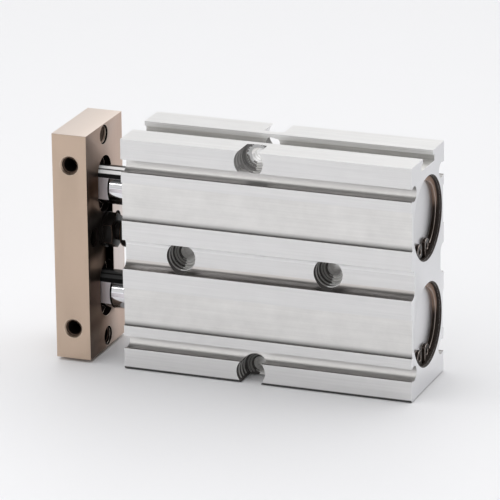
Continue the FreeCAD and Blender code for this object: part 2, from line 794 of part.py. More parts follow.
os.makedirs("parts", exist_ok=True)
for item in doc.Objects:
    if item.TypeId == "PartDesign::Body":
        if item.Shape.isNull() or not item.Shape.isValid():
            raise RuntimeError("%s has no valid shape" % item.Label)
        item.Shape.exportStep("parts/%s.step" % item.Label)
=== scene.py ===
# %% [markdown]
# # Guided pneumatic cylinder
# Two air cylinders lie side by side in one satin aluminium extrusion, and their chrome rods carry a
# champagne end plate in and out together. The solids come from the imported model, at real size. This
# lesson gives them finishes, softened edges and threads, and sets them in a plain studio.

# %% Load the model
import bpy
import json
import math
from mathutils import Matrix, Vector


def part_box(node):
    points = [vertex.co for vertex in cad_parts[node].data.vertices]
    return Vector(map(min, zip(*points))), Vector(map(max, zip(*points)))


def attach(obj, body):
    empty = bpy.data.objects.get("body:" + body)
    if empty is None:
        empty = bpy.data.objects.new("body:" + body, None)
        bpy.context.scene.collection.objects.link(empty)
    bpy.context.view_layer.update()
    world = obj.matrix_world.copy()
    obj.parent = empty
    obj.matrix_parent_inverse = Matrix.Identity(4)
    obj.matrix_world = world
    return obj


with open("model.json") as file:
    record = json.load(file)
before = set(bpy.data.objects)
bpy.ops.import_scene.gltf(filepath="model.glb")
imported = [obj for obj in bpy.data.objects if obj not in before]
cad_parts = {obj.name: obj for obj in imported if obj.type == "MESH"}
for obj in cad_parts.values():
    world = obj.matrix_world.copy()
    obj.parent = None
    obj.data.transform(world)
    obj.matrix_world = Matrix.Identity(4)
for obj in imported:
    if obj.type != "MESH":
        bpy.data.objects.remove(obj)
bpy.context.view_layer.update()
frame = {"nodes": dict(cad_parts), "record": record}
nodes = frame["nodes"]
MM = 0.001             # the frame is in metres, and this lesson's sizes are in millimetres
SIDES = ("upper", "lower")
print("nodes:", len(nodes))

# %% [markdown]
# ## Places on the part
# Finishes and threads have to land on the bores, the rods and the end plate. Their places could be
# typed in again, but would then go wrong when the model changes. Here they are measured from the
# model's own pieces.

# %% Measure the main pieces
body_low, body_high = [Vector(corner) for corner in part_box("body")]
plate_low, plate_high = [Vector(corner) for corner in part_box("end_plate")]
rod_boxes = {side: [Vector(corner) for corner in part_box("piston_rod_" + side)] for side in SIDES}
LEVELS = {side: (low.z + high.z) / 2 for side, (low, high) in rod_boxes.items()}
BORE_STEP = LEVELS["upper"] - LEVELS["lower"]
ROD_RADIUS = (rod_boxes["upper"][1].z - rod_boxes["upper"][0].z) / 2
PLATE_FACE = plate_high.x      # the plate's inner face, which looks at the body across the gap
print("rods in mm: levels", [round(level / MM, 2) for level in LEVELS.values()],
      "radius", round(ROD_RADIUS / MM, 2))
print("gap between plate and body in mm:", round((body_low.x - PLATE_FACE) / MM, 2))

# %% [markdown]
# ## Camera
# A long lens keeps the edges of a small machine part almost parallel, as a catalogue picture does.
# A camera could be aimed with a constraint and an empty. Here its three directions are worked out
# from its turn, tilt and roll, so that each can be read and changed by itself.

# %% Camera
TURN = 0.3682          # radians round the part, from straight in front
TILT = 0.3249          # radians above the table
ROLL = -0.0117
DISTANCE = 1.832
LENS = 324.8
SENSOR = 36
AIM = Vector((1.05, 0, 49.7)) * MM

forward = Vector((-math.sin(TURN) * math.cos(TILT), math.cos(TURN) * math.cos(TILT), -math.sin(TILT)))
level_right = Vector((math.cos(TURN), math.sin(TURN), 0))
level_up = level_right.cross(forward)
right = level_right * math.cos(ROLL) + level_up * math.sin(ROLL)
up = level_up * math.cos(ROLL) - level_right * math.sin(ROLL)
camera_data = bpy.data.cameras.new("camera")
camera_data.lens = LENS
camera_data.sensor_width = SENSOR
camera_data.clip_end = 30
camera = bpy.data.objects.new("camera", camera_data)
bpy.context.collection.objects.link(camera)
turn = Matrix((right, up, -forward)).transposed().to_4x4()
camera.matrix_world = Matrix.Translation(AIM - forward * DISTANCE) @ turn
bpy.context.scene.camera = camera
print("camera at", [round(value, 3) for value in camera.matrix_world.translation])

# %% [markdown]
# ## Room
# Bare metal shows what stands round it, so a studio needs walls. A picture of a room could be
# wrapped round the scene. Here the walls are smooth runs of grey, worked out from the direction
# alone, so each can be changed by one number. Behind the part the room is pale to well over head
# height. In front it is pale near the table and dark above, so rounded metal runs light to dark.

# %% An empty room
scene = bpy.context.scene
scene.view_settings.view_transform = "Standard"
world = bpy.data.worlds.new("pale_room")
scene.world = world
world.use_nodes = True
room_tree = world.node_tree
room = room_tree.nodes["Background"]
room.inputs["Strength"].default_value = 1.0
direction = room_tree.nodes.new("ShaderNodeTexCoord").outputs["Generated"]
print("world:", world.name)


# %% Walls
def feed(tree, socket, value):
    """Sets a socket to a number or a vector, or links another socket to it."""
    if isinstance(value, bpy.types.NodeSocket):
        tree.links.new(value, socket)
    else:
        socket.default_value = value


def part_of(tree, vector, axis):
    """One of a vector's three numbers."""
    parts = tree.nodes.new("ShaderNodeSeparateXYZ")
    tree.links.new(vector, parts.inputs[0])
    return parts.outputs[axis]


def ramp_node(tree, value, start, end, low=0.0, high=1.0):
    """A smooth run from low to high as value goes from start to end."""
    ramp = tree.nodes.new("ShaderNodeMapRange")
    ramp.interpolation_type = "SMOOTHSTEP"
    for title, number in (("From Min", start), ("From Max", end), ("To Min", low), ("To Max", high)):
        ramp.inputs[title].default_value = number
    tree.links.new(value, ramp.inputs["Value"])
    return ramp.outputs["Result"]


# Each run: where it starts and ends on a direction of length one, and its grey at either end.
FRONT_WALL = (0.12, 0.62, 0.74, 0.05)
REAR_WALL = (0.62, 0.92, 0.95, 0.25)
FRONT_TO_REAR = (-0.35, 0.35, 0.0, 1.0)
front_wall = ramp_node(room_tree, part_of(room_tree, direction, "Z"), *FRONT_WALL)
rear_wall = ramp_node(room_tree, part_of(room_tree, direction, "Z"), *REAR_WALL)
rear_share = ramp_node(room_tree, part_of(room_tree, direction, "Y"), *FRONT_TO_REAR)
print("front wall's greys:", FRONT_WALL[2:], "rear wall's greys:", REAR_WALL[2:])


# %% Walls joined
def mix_node(tree, kind, share, first, second):
    """Goes from first to second, which are numbers or vectors, as share goes from 0 to 1."""
    node = tree.nodes.new("ShaderNodeMix")
    node.data_type = kind
    first_slot, second_slot, result = {"FLOAT": (2, 3, 0), "VECTOR": (4, 5, 1)}[kind]
    feed(tree, node.inputs[0], share)
    feed(tree, node.inputs[first_slot], first)
    feed(tree, node.inputs[second_slot], second)
    return node.outputs[result]


room_grey = mix_node(room_tree, "FLOAT", rear_share, front_wall, rear_wall)
room_tree.links.new(room_grey, room.inputs["Color"])
print("nodes in the room:", len(room_tree.nodes))

# %% [markdown]
# ## Lamps and table
# Soft, even greys on satin metal come from broad lamps; small ones would leave hot spots and hard
# shadows. A wide box lights the part from above and behind, and a low strip in front gives its
# sides a little light. The third lamp is for the table alone: its image would wash out the dark
# runs on the metal, so it doesn't show in reflections. The table is a plain sheet far wider than
# the picture, which leaves no edge to be seen.


# %% Lamps
def area_lamp(name, place, aim, size, power):
    """A flat lamp of a given width and height in metres that faces a point."""
    lamp = bpy.data.lights.new(name, "AREA")
    lamp.shape = "RECTANGLE"
    lamp.size, lamp.size_y = size
    lamp.energy = power
    item = bpy.data.objects.new(name, lamp)
    item.location = place
    item.rotation_euler = (Vector(aim) - Vector(place)).to_track_quat("-Z", "Y").to_euler()
    bpy.context.collection.objects.link(item)
    print("lamp:", name, power, "W")
    return item


area_lamp("top_softbox", place=(0.40, 0.75, 1.30), aim=(0.05, 0.1, 0.05), size=(2.2, 1.3), power=8.5)
area_lamp("front_strip", place=(-0.60, -1.50, 0.64), aim=(0, 0, 0.05), size=(1.4, 0.07), power=1.6)
table_lamp = area_lamp("table_light", place=(-0.45, -0.60, 1.60), aim=(-0.05, -0.1, 0),
                       size=(2.6, 2.2), power=29.5)
table_lamp.visible_glossy = False


# %% Table
def mesh_piece(name, points, faces, smooth=False):
    """A new object from points in metres."""
    mesh = bpy.data.meshes.new(name)
    mesh.from_pydata(points, [], faces)
    mesh.update()
    mesh.polygons.foreach_set("use_smooth", [smooth] * len(mesh.polygons))
    piece = bpy.data.objects.new(name, mesh)
    bpy.context.collection.objects.link(piece)
    return piece


TABLE_HALF = 6.0
TABLE_LEVEL = -0.35 * MM   # a hair below the part, so that a fine dark line shows under its edge
CORNERS = ((-1, -1), (1, -1), (1, 1), (-1, 1))
floor = mesh_piece("floor", [(x * TABLE_HALF, y * TABLE_HALF, TABLE_LEVEL) for x, y in CORNERS],
                   [(0, 1, 2, 3)])
print("table:", 2 * TABLE_HALF, "m wide")

# %% [markdown]
# ## Shared effects
# Many finishes here need the same grain or speckle. The nodes could be copied into each material,
# but every change would then be made many times. So each effect is a node group, built once and
# placed in each material with its own values. A group takes a colour and a roughness, and puts out
# a colour, a roughness and a height, which the material feeds to its own shader.

# %% A shader group
FLOAT, COLOUR = "NodeSocketFloat", "NodeSocketColor"
FINISH_INPUTS = (("Color", COLOUR), ("Roughness", FLOAT))
FINISH_OUTPUTS = (("Color", COLOUR), ("Roughness", FLOAT), ("Height", FLOAT))


def new_group(name, inputs, outputs):
    """An empty shader group, its input node and its output node."""
    group = bpy.data.node_groups.new(name, "ShaderNodeTree")
    for title, kind in inputs:
        group.interface.new_socket(title, in_out="INPUT", socket_type=kind)
    for title, kind in outputs:
        group.interface.new_socket(title, in_out="OUTPUT", socket_type=kind)
    return group, group.nodes.new("NodeGroupInput"), group.nodes.new("NodeGroupOutput")


print("a finish takes", [title for title, _ in FINISH_INPUTS],
      "and gives", [title for title, _ in FINISH_OUTPUTS])


# %% Arithmetic in a group
def math_node(tree, operation, *values, clamp=False):
    """A Math node whose inputs are numbers or sockets."""
    node = tree.nodes.new("ShaderNodeMath")
    node.operation = operation
    node.use_clamp = clamp
    for socket, value in zip(node.inputs, values):
        feed(tree, socket, value)
    return node.outputs[0]


def vector_node(tree, operation, first, second=None):
    """A Vector Math node; for SCALE, second is a number, and else a vector."""
    node = tree.nodes.new("ShaderNodeVectorMath")
    node.operation = operation
    feed(tree, node.inputs[0], first)
    if second is not None:
        feed(tree, node.inputs["Scale" if operation == "SCALE" else 1], second)
    return node.outputs[0]


def object_place(tree):
    """The place on the piece itself, which stays with it when it moves."""
    return tree.nodes.new("ShaderNodeTexCoord").outputs["Object"]


print("places on a piece are in metres, in the model's own frame")


# %% Noise and tone
def noise(tree, coordinates, scale, detail=3.0):
    """Soft noise about zero, with scale waves to a metre."""
    node = tree.nodes.new("ShaderNodeTexNoise")
    node.inputs["Scale"].default_value = scale
    node.inputs["Detail"].default_value = detail
    node.inputs["Roughness"].default_value = 0.6
    tree.links.new(coordinates, node.inputs["Vector"])
    return math_node(tree, "SUBTRACT", node.outputs["Fac"], 0.5)


def shade_colour(tree, colour, amount, gain):
    """The colour made lighter and darker by amount, which runs about zero."""
    return vector_node(tree, "SCALE", colour, math_node(tree, "MULTIPLY_ADD", amount, gain, 1.0))


def put_out(group, given, made, layers, wobble, height, shade):
    """Tones colour by each layer and by place, for painted light and shade; roughness by wobble."""
    colour = given.outputs["Color"]
    for layer, title in layers:
        colour = shade_colour(group, colour, layer, given.outputs[title])
    if shade:
        colour = vector_node(group, "SCALE", colour, shade(group, object_place(group)))
    layer, title = wobble
    roughness = math_node(group, "MULTIPLY_ADD", layer, given.outputs[title],
                          given.outputs["Roughness"], clamp=True)
    for title, socket in (("Color", colour), ("Roughness", roughness), ("Height", height)):
        group.links.new(socket, made.inputs[title])
    print("group:", group.name, "with", len(group.nodes), "nodes")
    return group


# %% [markdown]
# ## Grain
# Metal pushed through a die keeps long fine lines the way it was drawn, and a turned bore keeps
# rings from the cutter. A scratched image could be laid over each face, but it needs unwrapping and
# blurs up close. Noise that is squeezed one way gives streaks of any fineness on every face. A slow
# cloud over them keeps large faces from looking printed.

# %% Grain groups
ALONG = (0.018, 1.0, 1.0)      # noise this much longer along X: a drawn profile
AROUND = (1.0, 0.03, 0.03)     # noise this much longer across X: turned rings
FINE_STREAKS, BROAD_STREAKS, CLOUDS = 1350, 420, 130
BROAD_SHARE = 0.8


def build_grain(name, squeeze, shade=None):
    """Fine streaks over a slow change of tone; they run the way squeeze is smallest."""
    group, given, made = new_group(
        name, FINISH_INPUTS + (("Streaks", FLOAT), ("Mottle", FLOAT)), FINISH_OUTPUTS)
    place = object_place(group)
    squeezed = vector_node(group, "MULTIPLY", place, squeeze)
    fine = noise(group, squeezed, FINE_STREAKS)
    broad = noise(group, squeezed, BROAD_STREAKS)
    streaks = math_node(group, "MULTIPLY_ADD", broad, BROAD_SHARE, fine)
    cloud = noise(group, place, CLOUDS, detail=4.0)
    return put_out(group, given, made, ((streaks, "Streaks"), (cloud, "Mottle")),
                   (streaks, "Streaks"), streaks, shade)


ring_group = build_grain("turned_rings", AROUND)

# %% [markdown]
# ## Mottle
# Etched and anodised aluminium, rubber and blackened steel have a fine even speckle over slow
# patches. Two noises give it, one fine and one broad. One noise with more detail would be simpler,
# but its speckle and its patches couldn't be set apart.

# %% Mottle groups
SPECKLES, PATCHES = 3800, 70


def build_mottle(name, shade=None):
    """A fine even speckle over slow patches."""
    group, given, made = new_group(
        name, FINISH_INPUTS + (("Speckle", FLOAT), ("Patches", FLOAT)), FINISH_OUTPUTS)
    place = object_place(group)
    fine = noise(group, place, SPECKLES, detail=2.0)
    patches = noise(group, place, PATCHES)
    return put_out(group, given, made, ((fine, "Speckle"), (patches, "Patches")),
                   (patches, "Patches"), fine, shade)


mottle_group = build_mottle("etched_mottle")

# %% [markdown]
# ## Shade by place
# Grooves, recesses and the foot of a part see little of the room, so they look darker than open
# faces, and some faces look lighter where more of the room shows in them. This light and shade are
# painted into the colour here. They could be painted by hand on an unwrapped piece. Here they are
# worked out from the place on the piece, as a smooth run along one direction, so they need no
# unwrapping and stay with the piece when it moves. The lamps still add their own light and shadow.


# %% Runs and windows
def run(start, end, low=0.0, high=1.0):
    """Two places in millimetres and the tone at each of them."""
    return start * MM, end * MM, low, high


def mm(*values):
    """Millimetres as metres."""
    return tuple(value * MM for value in values)


def tone_along(tree, place, axis, stretch):
    """A run of tone along X, Y or Z."""
    return ramp_node(tree, part_of(tree, place, axis), *stretch)


def window(tree, value, start, full, last, end):
    """One between full and last, and nothing outside start and end."""
    rising = ramp_node(tree, value, start, full)
    return math_node(tree, "MULTIPLY", rising, ramp_node(tree, value, last, end, 1.0, 0.0))


print("a run of 1 mm is", run(0, 1)[:2], "in metres")

# %% [markdown]
# ### Under the body's foot
# The body's lower edge is broken like the others, and hardly any light gets in under it. The dark
# line there could be a thin piece of its own, but a painted shadow, a run of tone over the last
# millimetre, needs no extra mesh.

# %% Shade on the body's skin
FOOT_RUN = run(0.53, 0.93, 0.10, 1.0)          # Z, the last millimetre above the table


def foot_shade(tree, place):
    """Painted shadow along the body's lower edge."""
    return tone_along(tree, place, "Z", FOOT_RUN)


# Finishes built on this group carry the painted shadow along the foot as well as the drawn grain.
grain_foot_shadow_group = build_grain("drawn_grain_foot_shadow", ALONG, foot_shade)

# %% [markdown]
# ### Label recesses
# In front of each bore lies a shallow recess for a label, given painted shade toward its foot and
# a faint painted dark line along its top. Both look alike, so the height above the lower one's foot
# is taken modulo the distance between the bores, and one run serves both. Two materials, one for
# each recess, would do as well, but would have to be kept the same.

# %% Shade in the label recesses
RECESS_HALF = 8.1 * MM
RECESS_FOOT = LEVELS["lower"] - RECESS_HALF    # Z, the lower edge of the lower recess
RECESS_LOW_RUN = run(0.0, 2.6, 0.40, 1.0)      # Z above a recess's foot
RECESS_TOP_RUN = run(15.7, 16.0, 1.0, 0.82)


def recess_shade(tree, place):
    """Painted shade toward each label recess's foot, and a faint painted dark line along its top."""
    above = math_node(tree, "SUBTRACT", part_of(tree, place, "Z"), RECESS_FOOT)
    above = math_node(tree, "MODULO", above, BORE_STEP)
    return math_node(tree, "MULTIPLY", ramp_node(tree, above, *RECESS_LOW_RUN),
                     ramp_node(tree, above, *RECESS_TOP_RUN))


recess_group = build_grain("recess_grain_and_shade", ALONG, recess_shade)

# %% [markdown]
# ### Channel between the bores
# The channel's floor meets its walls in round corners. The lower corner looks up into the room and
# runs from dull to bright as it turns. Plain metal does this only in a room with walls all round,
# so two runs, one along and one down, paint this light here.

# %% Shade in the channel between the bores
CORNER_ALONG_RUN = run(-45, 12, 1.7, 1.0)      # X
CORNER_DOWN_RUN = run(42.8, 46.3, 1.0, 2.2)    # Z
CORNER_MOST = 2.2


def corner_shade(tree, place):
    """Painted light: lighter toward one end, and where the channel's round corner leaves its floor.
    """
    along = tone_along(tree, place, "X", CORNER_ALONG_RUN)
    down = tone_along(tree, place, "Z", CORNER_DOWN_RUN)
    return math_node(tree, "MINIMUM", math_node(tree, "MULTIPLY", along, down), CORNER_MOST)


corner_group = build_grain("corner_grain_and_light", ALONG, corner_shade)

# %% [markdown]
# ### Sensor grooves
# Sensors slide in four round grooves with narrow mouths. Each is given painted light on its back
# wall and painted shade toward its mouth. The distance from the middle of the body is the same on
# both sides, so the shade takes it without its sign, and one run serves all four.

# %% Shade in the sensor grooves
GROOVE_LIP_RUN = run(15.5, 17.2, 1.0, 0.75)    # distance from the middle of the body


def groove_shade(tree, place):
    """Painted light on the back wall of a sensor groove and painted shade toward its mouth."""
    reach = math_node(tree, "ABSOLUTE", part_of(tree, place, "Y"))
    return ramp_node(tree, reach, *GROOVE_LIP_RUN)


groove_group = build_grain("groove_grain_and_shade", ALONG, groove_shade)

# %% [markdown]
# ### Rear end and circlips
# The machined end is nearly flat grey, with painted light a little lighter toward the pale table.
# The circlips in it are dark spring steel whose upper half mirrors the lamps. Another lamp could
# bring this out, but it would fall on the whole end, so a run of tone paints this reflection on
# the circlips alone.

# %% Shade on the rear end and its circlips
END_RUN = run(25, 55, 1.11, 1.0)               # Z
LOWER_HALF = LEVELS["lower"] - BORE_STEP / 2   # Z, where the lower bore's half of the end starts
CLIP_RUN = run(21, 27, 0.40, 5.0)              # Z above the start of each bore's half


def end_shade(tree, place):
    """Painted light, a little lighter toward the table, which throws light back on the machined end.
    """
    return tone_along(tree, place, "Z", END_RUN)


def clip_shade(tree, place):
    """Painted reflection: dark on the lower half of each circlip and lighter toward its top."""
    above = math_node(tree, "SUBTRACT", part_of(tree, place, "Z"), LOWER_HALF)
    return ramp_node(tree, math_node(tree, "MODULO", above, BORE_STEP), *CLIP_RUN)


end_group = build_mottle("end_mottle_and_light", end_shade)
clip_group = build_grain("clip_rings_and_reflection", AROUND, clip_shade)

# %% [markdown]
# ### Edges and holes of the plate
# The plate's holes are tapped through its dyed skin and are given painted shade, so they look black,
# but for the mouth of the topmost one, which stands clear of the body and gets painted light. The
# rims of the middle holes lie deep in the gap, so their painted shade keeps them dark too, and the
# plate's foot gets a painted shadow. Windows, which are two runs back to back, pick them out.

# %% Shade on the plate's edges and in its holes
INTO_PLATE_RUN = run(-66, -64)                 # X, from deep in the plate to its inner face
RIM_ACROSS = mm(-17.5, -16.5, 16.5, 17.5)      # Y, the middle of the inner face
RIM_UP = mm(18, 22, 66, 72)                    # Z
RIM_DARK = 0.97
PLATE_FOOT_RUN = run(1.3, 1.7, 0.15, 1.0)      # Z
TOPMOST_RUN = run(80, 82, 0.0, 0.98)           # Z, where only the topmost hole lies
HOLE_LEAST = 0.02


def rim_shade(tree, place):
    """Painted shade round the plate's middle holes, which lie in the gap's shadow, and along its
    foot.
    """
    inner = tone_along(tree, place, "X", INTO_PLATE_RUN)
    across = window(tree, part_of(tree, place, "Y"), *RIM_ACROSS)
    upward = window(tree, part_of(tree, place, "Z"), *RIM_UP)
    share = math_node(tree, "MULTIPLY", inner, math_node(tree, "MULTIPLY", across, upward))
    rims = math_node(tree, "SUBTRACT", 1.0, math_node(tree, "MULTIPLY", share, RIM_DARK))
    return math_node(tree, "MULTIPLY", rims, tone_along(tree, place, "Z", PLATE_FOOT_RUN))


def mouth_shade(tree, place):
    """Painted shade in the plate's holes, but painted light at the topmost one's mouth, which light
    reaches.
    """
    mouth = tone_along(tree, place, "X", INTO_PLATE_RUN)
    topmost = tone_along(tree, place, "Z", TOPMOST_RUN)
    return math_node(tree, "MULTIPLY_ADD", mouth, topmost, HOLE_LEAST)


rim_group = build_mottle("rim_mottle_and_shade", rim_shade)
mouth_group = build_grain("hole_mouth_rings_and_shade", AROUND, mouth_shade)

# %% [markdown]
# ## The plate's inner face
# The plate stands close to the body, so most of its inner face lies in the shadow of the gap, and
# deepest between the rods, where the stop and the body keep the light off. Traced light alone
# leaves this gap too pale, because bare walls pass it on to one another with little loss. So the
# shadow is part of the finish here. Its darkest part isn't metal at all: a dark metal still shines
# when it is seen along its face.

# %% Tones of the inner face
NEAR_TO_FAR_RUN = run(-9, 13)                  # Y
TOP_OPEN_RUN = run(74, 90, 0.0, 0.68)          # Z, light comes in over the top
FOOT_OPEN_RUN = run(8, 20, 0.24, 0.0)          # Z, the table throws some back
LIT_RUN = run(7, 8)                            # Y, the clear edge of the shadow between the rods
DEEP_RUN = run(-8, 0)                          # Y, the shadow gives way to its deepest part
BESIDE_STOP = mm(40, 46, 56, 63)               # Z
STOP_SHADOW, DIM, LIT = 0.85, 0.22, 1.30


def face_tone(tree, place, least):
    """Light at the far edge, and dark at the near one save for its two ends."""
    across = tone_along(tree, place, "Y", NEAR_TO_FAR_RUN)
    ends = math_node(tree, "ADD", tone_along(tree, place, "Z", TOP_OPEN_RUN),
                     tone_along(tree, place, "Z", FOOT_OPEN_RUN))
    left = math_node(tree, "MULTIPLY", math_node(tree, "SUBTRACT", 1.0, across),
                     math_node(tree, "ADD", least, ends))
    return math_node(tree, "ADD", across, left, clamp=True)


def deep_shadow(tree, place):
    """One where hardly any light reaches the face between the rods."""
    beside = window(tree, part_of(tree, place, "Z"), *BESIDE_STOP)
    return math_node(tree, "MAXIMUM", tone_along(tree, place, "Y", DEEP_RUN),
                     math_node(tree, "MULTIPLY", beside, STOP_SHADOW))


print("between the rods: shadow", DIM, "and lit strip", LIT)

# %% Finish group of the inner face
BETWEEN_RODS = mm(13, 19, 66, 72)              # Z
PALE_TINT = (0.93, 1.03, 1.12)                 # the lit strip looks paler at a glancing angle
WHITE = (1.0, 1.0, 1.0)
UPRIGHT = (1.0, 1.0, 0.02)                     # noise this much longer along Z: brushed upright
BRUSH_STREAKS = 1500


def build_gap_shade():
    """A brushed face with the shadow of the gap on it."""
    group, given, made = new_group(
        "gap_shade", (("Color", COLOUR), ("Floor", FLOAT), ("Streaks", FLOAT)),
        (("Color", COLOUR), ("Height", FLOAT), ("Metallic", FLOAT)))
    place = object_place(group)
    dark = deep_shadow(group, place)
    lit = tone_along(group, place, "Y", LIT_RUN)
    dim = math_node(group, "MULTIPLY", math_node(group, "SUBTRACT", 1.0, dark), DIM)
    middle = math_node(group, "MULTIPLY_ADD", lit, LIT, dim)
    share = window(group, part_of(group, place, "Z"), *BETWEEN_RODS)
    tone = mix_node(group, "FLOAT", share, face_tone(group, place, given.outputs["Floor"]), middle)
    shadow = math_node(group, "MULTIPLY", dark, math_node(group, "SUBTRACT", 1.0, lit))
    shadow = math_node(group, "MULTIPLY", shadow, share)
    streaks = noise(group, vector_node(group, "MULTIPLY", place, UPRIGHT), BRUSH_STREAKS)
    toned = shade_colour(group, given.outputs["Color"], streaks, given.outputs["Streaks"])
    tint = mix_node(group, "VECTOR", math_node(group, "MULTIPLY", share, lit), WHITE, PALE_TINT)
    toned = vector_node(group, "MULTIPLY", vector_node(group, "SCALE", toned, tone), tint)
    metal = math_node(group, "SUBTRACT", 1.0, shadow, clamp=True)
    for title, socket in (("Color", toned), ("Height", streaks), ("Metallic", metal)):
        group.links.new(socket, made.inputs[title])
    return group


gap_group = build_gap_shade()
print("group:", gap_group.name, "with", len(gap_group.nodes), "nodes")

# %% [markdown]
# ## Chrome beside the plate
# Polished chrome mirrors the room in light and dark strips. Beside the plate, its upper side shows
# two bright strips with dark between. More lamps could throw them, but they would light all the
# rest of the part as well. So the strips are given by the angle round the rod, and they fade into
# plain chrome a little way from the plate.

# %% Chrome group
# Each strip: where it starts, is full, begins to fade and ends, in degrees round the rod from its
# near side toward its top.
STRIPS = ((48, 51, 61, 65), (67, 70, 81, 86))
STRIPED_SIDE = (33, 36, 125, 140)
STRIPED_RUN = (PLATE_FACE + 12.2 * MM, PLATE_FACE + 18.2 * MM, 1.0, 0.0)     # X
BETWEEN_STRIPS = 0.012


def build_chrome_strips():
    """Chrome whose upper side near the plate shows the room in light and dark strips."""
    group, given, made = new_group(
        "chrome_strips", (("Color", COLOUR), ("Level", FLOAT), ("Light", FLOAT)),
        (("Color", COLOUR), ("Height", FLOAT), ("Metallic", FLOAT)))
    place = object_place(group)
    rise = math_node(group, "SUBTRACT", part_of(group, place, "Z"), given.outputs["Level"])
    nearer = math_node(group, "MULTIPLY", part_of(group, place, "Y"), -1.0)
    angle = math_node(group, "ARCTAN2", rise, nearer)
    strips = [window(group, angle, *map(math.radians, strip)) for strip in STRIPS]
    light = math_node(group, "MULTIPLY", math_node(group, "ADD", *strips), given.outputs["Light"])
    tone = math_node(group, "ADD", light, BETWEEN_STRIPS)
    grey = group.nodes.new("ShaderNodeCombineXYZ")
    for socket in grey.inputs:
        group.links.new(tone, socket)
    share = math_node(group, "MULTIPLY", tone_along(group, place, "X", STRIPED_RUN),
                      window(group, angle, *map(math.radians, STRIPED_SIDE)))
    colour = mix_node(group, "VECTOR", share, given.outputs["Color"], grey.outputs[0])
    metal = math_node(group, "SUBTRACT", 1.0, share)
    for title, socket in (("Color", colour), ("Height", share), ("Metallic", metal)):
        group.links.new(socket, made.inputs[title])
    return group


strips_group = build_chrome_strips()
print("group:", strips_group.name, "with", len(strips_group.nodes), "nodes")

# %% [markdown]
# ## From an effect to a material
# Each finish is one effect, one colour and a few numbers. Each could be wired by hand; a function
# that wires them all the same way keeps them alike. What changes over the surface comes out of the
# effect, and what doesn't is set on the shader itself. A groove's wall may lean its normal toward
# the side face it lies in, so that it catches the light as its rounded lip does.


# %% A leaning normal
def leaning_normal(tree, lean):
    """The surface's normal, turned toward the nearer side face by lean."""
    side = math_node(tree, "SIGN", part_of(tree, object_place(tree), "Y"))
    toward = tree.nodes.new("ShaderNodeCombineXYZ")
    tree.links.new(math_node(tree, "MULTIPLY", side, lean), toward.inputs["Y"])
    normal = tree.nodes.new("ShaderNodeNewGeometry").outputs["Normal"]
    return vector_node(tree, "NORMALIZE", vector_node(tree, "ADD", normal, toward.outputs[0]))


GROOVE_LEAN = 0.65
print("a groove's wall leans", round(math.degrees(math.atan(GROOVE_LEAN))), "degrees")

# %% A finish
RELIEF = 0.02 * MM     # how high the grain and the speckle stand
SHADER_SOCKETS = {"Color": "Base Color", "Roughness": "Roughness", "Metallic": "Metallic"}


def finish(name, group, colour, roughness, metallic, bump=0.02, lean=0.0, specular=None, tint=None,
           **values):
    """A material whose colour and relief come from one of the shared groups."""
    material = bpy.data.materials.new(name)
    material.use_nodes = True
    tree = material.node_tree
    shader = tree.nodes["Principled BSDF"]
    effect = tree.nodes.new("ShaderNodeGroup")
    effect.node_tree = group
    for title, value in {"Color": (*colour, 1), "Roughness": roughness, **values}.items():
        if title in effect.inputs:
            effect.inputs[title].default_value = value
    for title, value in (("Roughness", roughness), ("Metallic", metallic),
                         ("Specular IOR Level", specular), ("Specular Tint", tint)):
        if value is not None:
            shader.inputs[title].default_value = value
    relief = tree.nodes.new("ShaderNodeBump")
    relief.inputs["Strength"].default_value = bump
    relief.inputs["Distance"].default_value = RELIEF
    tree.links.new(effect.outputs["Height"], relief.inputs["Height"])
    if lean:
        tree.links.new(leaning_normal(tree, lean), relief.inputs["Normal"])
    tree.links.new(relief.outputs["Normal"], shader.inputs["Normal"])
    for title, socket in SHADER_SOCKETS.items():
        if title in effect.outputs:
            tree.links.new(effect.outputs[title], shader.inputs[socket])
    return material


floor_paint = finish("pale_paper", mottle_group, (0.80, 0.80, 0.815), roughness=0.6, metallic=0.0,
                     bump=0.0, Speckle=0.004, Patches=0.002)
floor.data.materials.append(floor_paint)
print("finish:", floor_paint.name)

# %% [markdown]
# ## The body's skin and ends
# The extrusion is etched and clear anodised, which leaves it satin with its long grain still to be
# seen. One metal could cover all of it, but its faces don't look alike. The label recesses, one
# millimetre deep, keep a warmer, coarser skin, and the ledges round them get a dark painted shade.
# The two ends are faced on a machine, so they are finer and without grain, with painted light a
# little lighter toward the table. The broken edges get a paler colour, a painted highlight.

# %% Skin finishes
satin_body = finish("satin_extrusion", grain_foot_shadow_group, (0.765, 0.76, 0.755), roughness=0.38,
                    metallic=1.0, bump=0.30, Streaks=0.20, Mottle=0.07)
label_recess = finish("label_recess", recess_group, (0.76, 0.75, 0.733), roughness=0.36,
                      metallic=1.0, bump=0.35, Streaks=0.18, Mottle=0.24)
# The ledges round the recesses get a dark copy of the metal: painted shade, for crisp dark lines.
ledge = finish("recess_ledge_shade", grain_foot_shadow_group, (0.21, 0.195, 0.185), roughness=0.35, metallic=1.0,
               Streaks=0.1, Mottle=0.05)
faced_end = finish("faced_end", end_group, (0.71, 0.71, 0.72), roughness=0.34, metallic=1.0,
                   bump=0.10, Speckle=0.06, Patches=0.05)
# A pale copy of the metal on the broken edges: a painted highlight.
highlight_edge = finish("highlight_edge", grain_foot_shadow_group, (0.98, 0.98, 0.98), roughness=0.35, metallic=0.3,
                     Streaks=0.05, Mottle=0.02)
print("skin finishes:", satin_body.name, label_recess.name, ledge.name, faced_end.name,
      highlight_edge.name)
